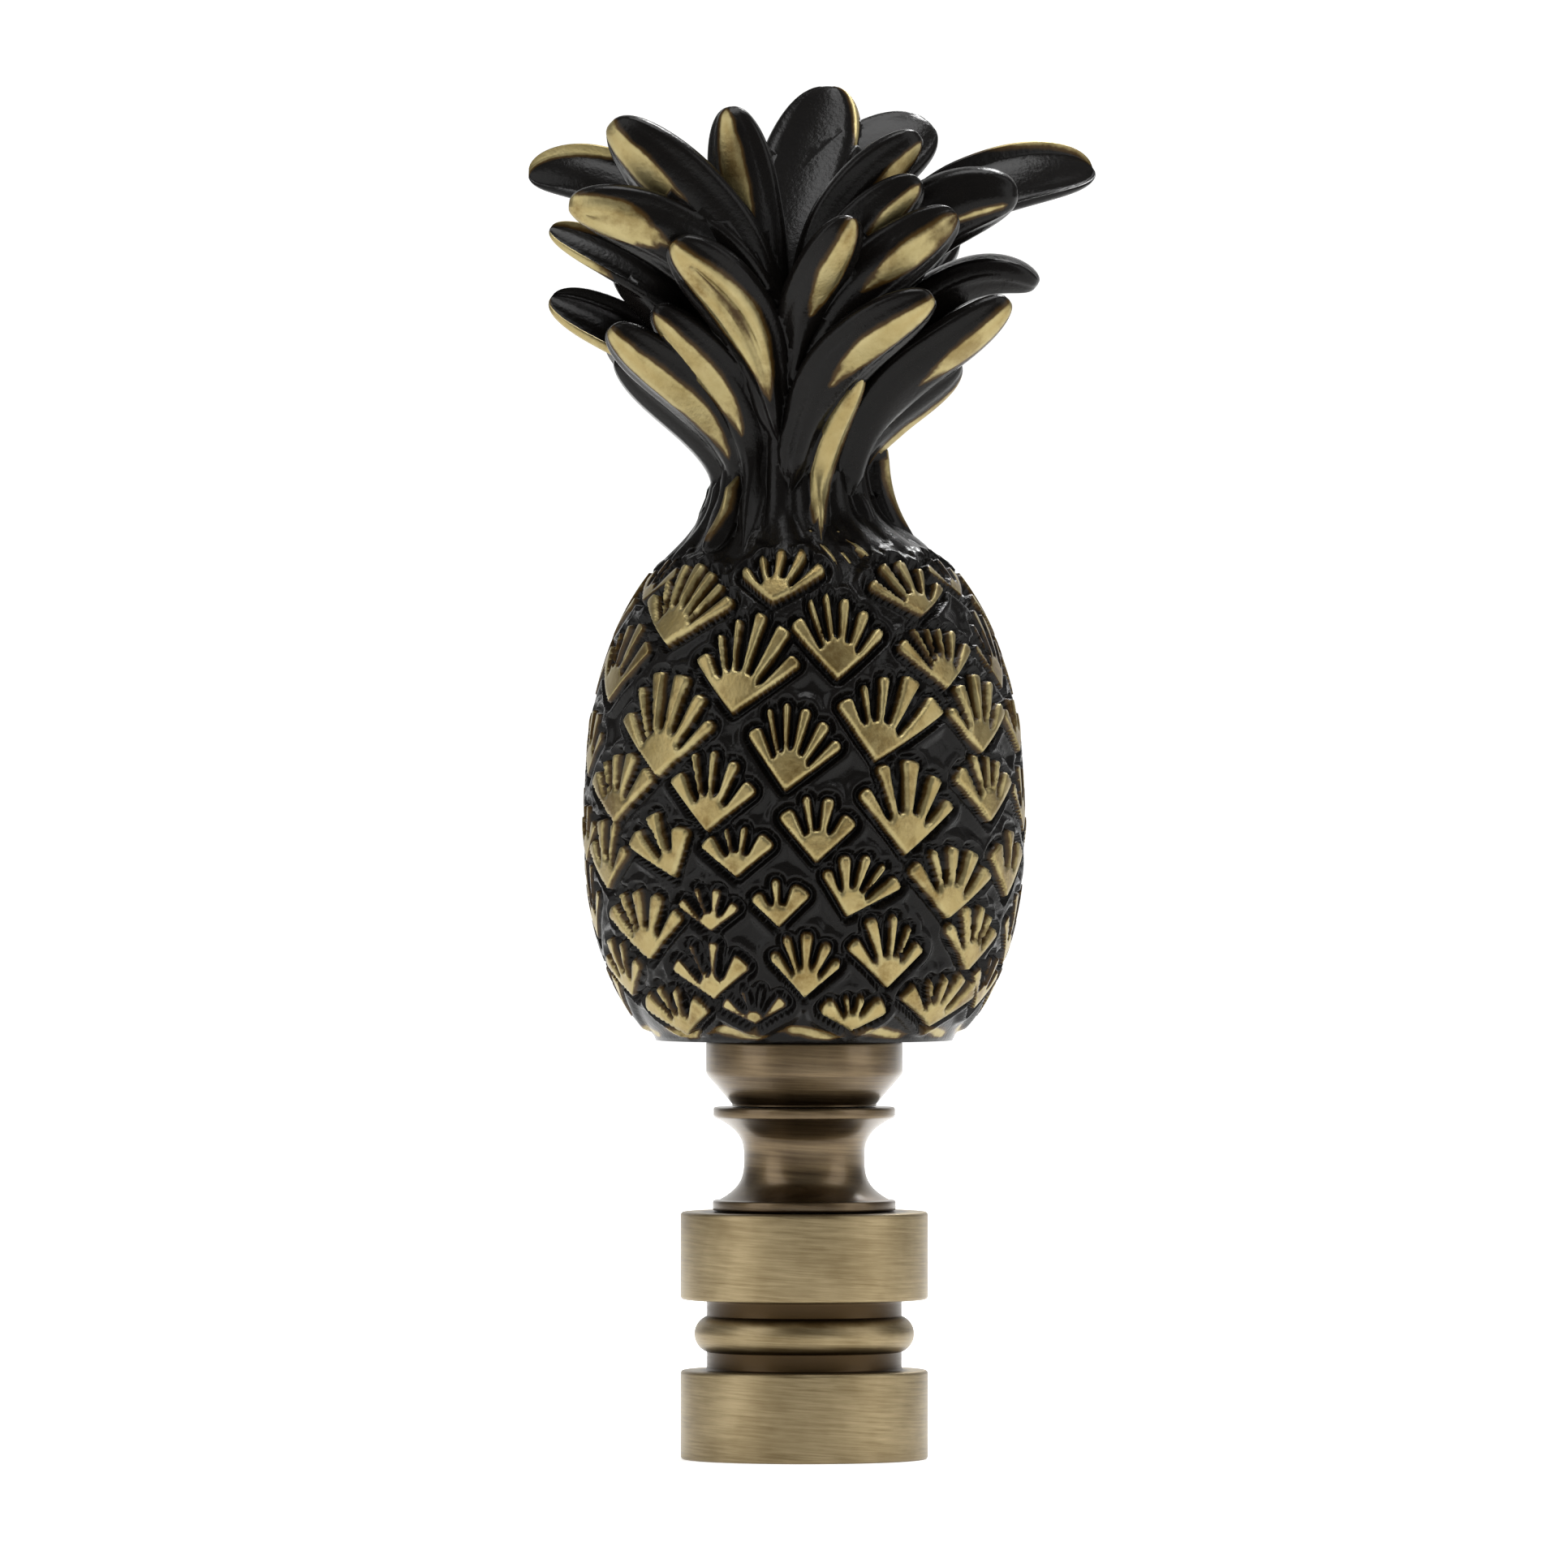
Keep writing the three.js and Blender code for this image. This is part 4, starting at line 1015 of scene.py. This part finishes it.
def turned_brass(name, dark, light, streak_width, roughness, coat, unshaded_from=None):
    """Turned brass with streaks of a width in millimetres. It is darker where the streaks are deep,
    and painted shade darkens it nearer the axis than the radius it is given, which on the foot
    takes in the groove round the bead and the top face round the spool's lip. The streaks are noise
    at (x, y, squeeze * (z + slant * x + radius))."""
    material, tree, shader = new_material(name)
    place = add(tree, "TexCoord").outputs["Object"]
    x, y, z = add(tree, "SeparateXYZ", Vector=place).outputs
    flat = add(tree, "CombineXYZ", X=x, Y=y).outputs[0]
    radius = add(tree, "VectorMath", {"operation": "LENGTH"}, _0=flat).outputs["Value"]
    height = add(tree, "Math", MULTIPLY_ADD, _0=x, _1=STREAK_SLANT, _2=z).outputs[0]
    climb = add(tree, "Math", {"operation": "ADD"}, _0=height, _1=radius).outputs[0]
    squeezed = add(tree, "Math", MULTIPLY, _0=climb, _1=STREAK_SQUEEZE).outputs[0]
    streaked = add(tree, "CombineXYZ", X=x, Y=y, Z=squeezed).outputs[0]
    streaks = add(tree, "TexNoise", Vector=streaked, Scale=1 / (streak_width * MM * STREAK_SQUEEZE),
                  Detail=6, Roughness=0.65).outputs["Fac"]
    tones = add(tree, "TexNoise", Vector=place, Scale=1 / (TONE_SIZE * MM), Detail=3).outputs["Fac"]
    share = add(tree, "Math", MULTIPLY_ADD, _0=tones, _1=TONE_WEIGHT, _2=streaks).outputs[0]
    spread = add(tree, "MapRange", Value=share, From_Min=TONE_FROM, From_Max=TONE_TO).outputs[0]
    colour = add(tree, "Mix", COLOURS, _0=spread, _6=linear(dark), _7=linear(light)).outputs[2]
    # Painted shade: nearer the axis than the given radius the colour fades to a dark brown, in the
    # foot's groove and round the spool's lip.
    if unshaded_from:
        unshaded = add(tree, "MapRange", EASED, Value=radius, From_Min=(unshaded_from - SHADE_FADE) * MM,
                    From_Max=unshaded_from * MM).outputs[0]
        colour = add(tree, "Mix", COLOURS, _0=unshaded, _6=linear("#3b2d1a"), _7=colour).outputs[2]
    gloss = add(tree, "MapRange", Value=streaks, To_Min=roughness - GLOSS_LESS,
                To_Max=roughness + GLOSS_MORE).outputs[0]
    bumps = add(tree, "Bump", Strength=0.3, Distance=STREAK_HEIGHT * MM, Height=streaks).outputs[0]
    tree.links.new(colour, shader.inputs["Base Color"])
    tree.links.new(gloss, shader.inputs["Roughness"])
    tree.links.new(bumps, shader.inputs["Normal"])
    shader.inputs["Metallic"].default_value = 1.0
    shader.inputs["Coat Weight"].default_value = coat
    shader.inputs["Coat Roughness"].default_value = 0.2
    print(len(tree.nodes), "nodes in", name)
    return material


# The foot: painted shade in its groove round the bead and round the spool's lip, nearer the axis
# than 5.55 mm.
brushed_brass = turned_brass("turned brass, brushed and toned", "#6f6044", "#948566",
                             0.12, 0.42, 0.1, unshaded_from=5.55)
# Cup and spool: darker than the foot, as a browner, less brushed tone on the cup and as painted
# shade on the spool's recessed waist.
dark_brass = turned_brass("turned brass, browner and with painted shade, lacquered", "#42331f", "#67573f",
                          0.2, 0.34, 0.4)

# %% [markdown]
# The sweep is white paper, lit so brightly that it all but glows. A little emission does that
# without a lamp behind it, and a faint noise keeps the paper from being one flat tone.

# %% Floor finish
PAPER_TONE_SIZE = 25.0

pale, tree, shader = new_material("white paper sweep, lit through")
place = add(tree, "TexCoord").outputs["Object"]
paper = add(tree, "TexNoise", Vector=place, Scale=1 / (PAPER_TONE_SIZE * MM), Detail=2)
tone = add(tree, "Mix", COLOURS, _0=paper.outputs["Fac"], _6=linear("#f4f4f2"),
           _7=linear("#fafaf8"))
tree.links.new(tone.outputs[2], shader.inputs["Base Color"])
shader.inputs["Roughness"].default_value = 0.9
shader.inputs["Emission Color"].default_value = (1, 1, 1, 1)
shader.inputs["Emission Strength"].default_value = 0.55
floor.data.materials.append(pale)

# %% [markdown]
# Each row gives a finished piece, the node of the imported model that it stands for, the record's
# name for its finish, and its material. The piece gets its material and rides on the root body, and
# the imported node is hidden. The finish's name is not used.

# %% Pieces on the frame
PIECES = [
    (pineapple, "pineapple", "cast_brass", cast_brass),
    (cup, "cup_collar", "dark_brass", dark_brass),
    (spool, "neck_spool", "dark_brass", dark_brass),
    (foot, "threaded_base", "brushed_brass", brushed_brass),
]
for piece, node, slot_name, material in PIECES:
    piece.data.materials.clear()
    piece.data.materials.append(material)
    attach(piece, "root")
    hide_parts(node)
    print(piece.name, "stands for", node)

# %% [markdown]
# ## Light
#
# The photograph was lit as small metalware usually is: a large soft light on each side, one above,
# and little from the front. So the middle of each turned piece is darker than its sides, and the
# black skin stays black where it faces the camera. A small light behind draws thin bright rims on
# the crown. The colours are shown as they are, with no film curve, so that the white of the sweep
# comes out white.

# %% Lights
WORLD_STRENGTH = 0.3
AIM = np.array([0, 0, 38.0])

bpy.context.scene.view_settings.view_transform = "Standard"
world = bpy.data.worlds.new("studio")
world.use_nodes = True
world.node_tree.nodes["Background"].inputs["Color"].default_value = (1, 1, 1, 1)
world.node_tree.nodes["Background"].inputs["Strength"].default_value = WORLD_STRENGTH
bpy.context.scene.world = world


def soft_light(name, place, width, height, radiance):
    """A soft box at a place in millimetres, turned towards the finial's middle with its width
    level. Its power in watts is four times its area in square metres times its radiance."""
    data = bpy.data.lights.new(name, "AREA")
    data.shape = "RECTANGLE"
    data.size, data.size_y = width * MM, height * MM
    data.energy = 4 * data.size * data.size_y * radiance
    lamp = bpy.data.objects.new(name, data)
    lamp.location = np.array(place) * MM
    x, y, z = AIM - place
    lamp.rotation_euler = (np.arctan2(np.hypot(x, y), -z), 0, np.arctan2(x, -y) + np.pi)
    bpy.context.collection.objects.link(lamp)
    print(f"{name} light, {data.energy:.2f} W")


soft_light("left", (-600, -330, 330), 450, 800, 1.6)
soft_light("right", (640, -250, 300), 450, 800, 1.4)
soft_light("top", (40, -10, 620), 360, 360, 5.0)
soft_light("back", (160, 420, 520), 160, 160, 22)
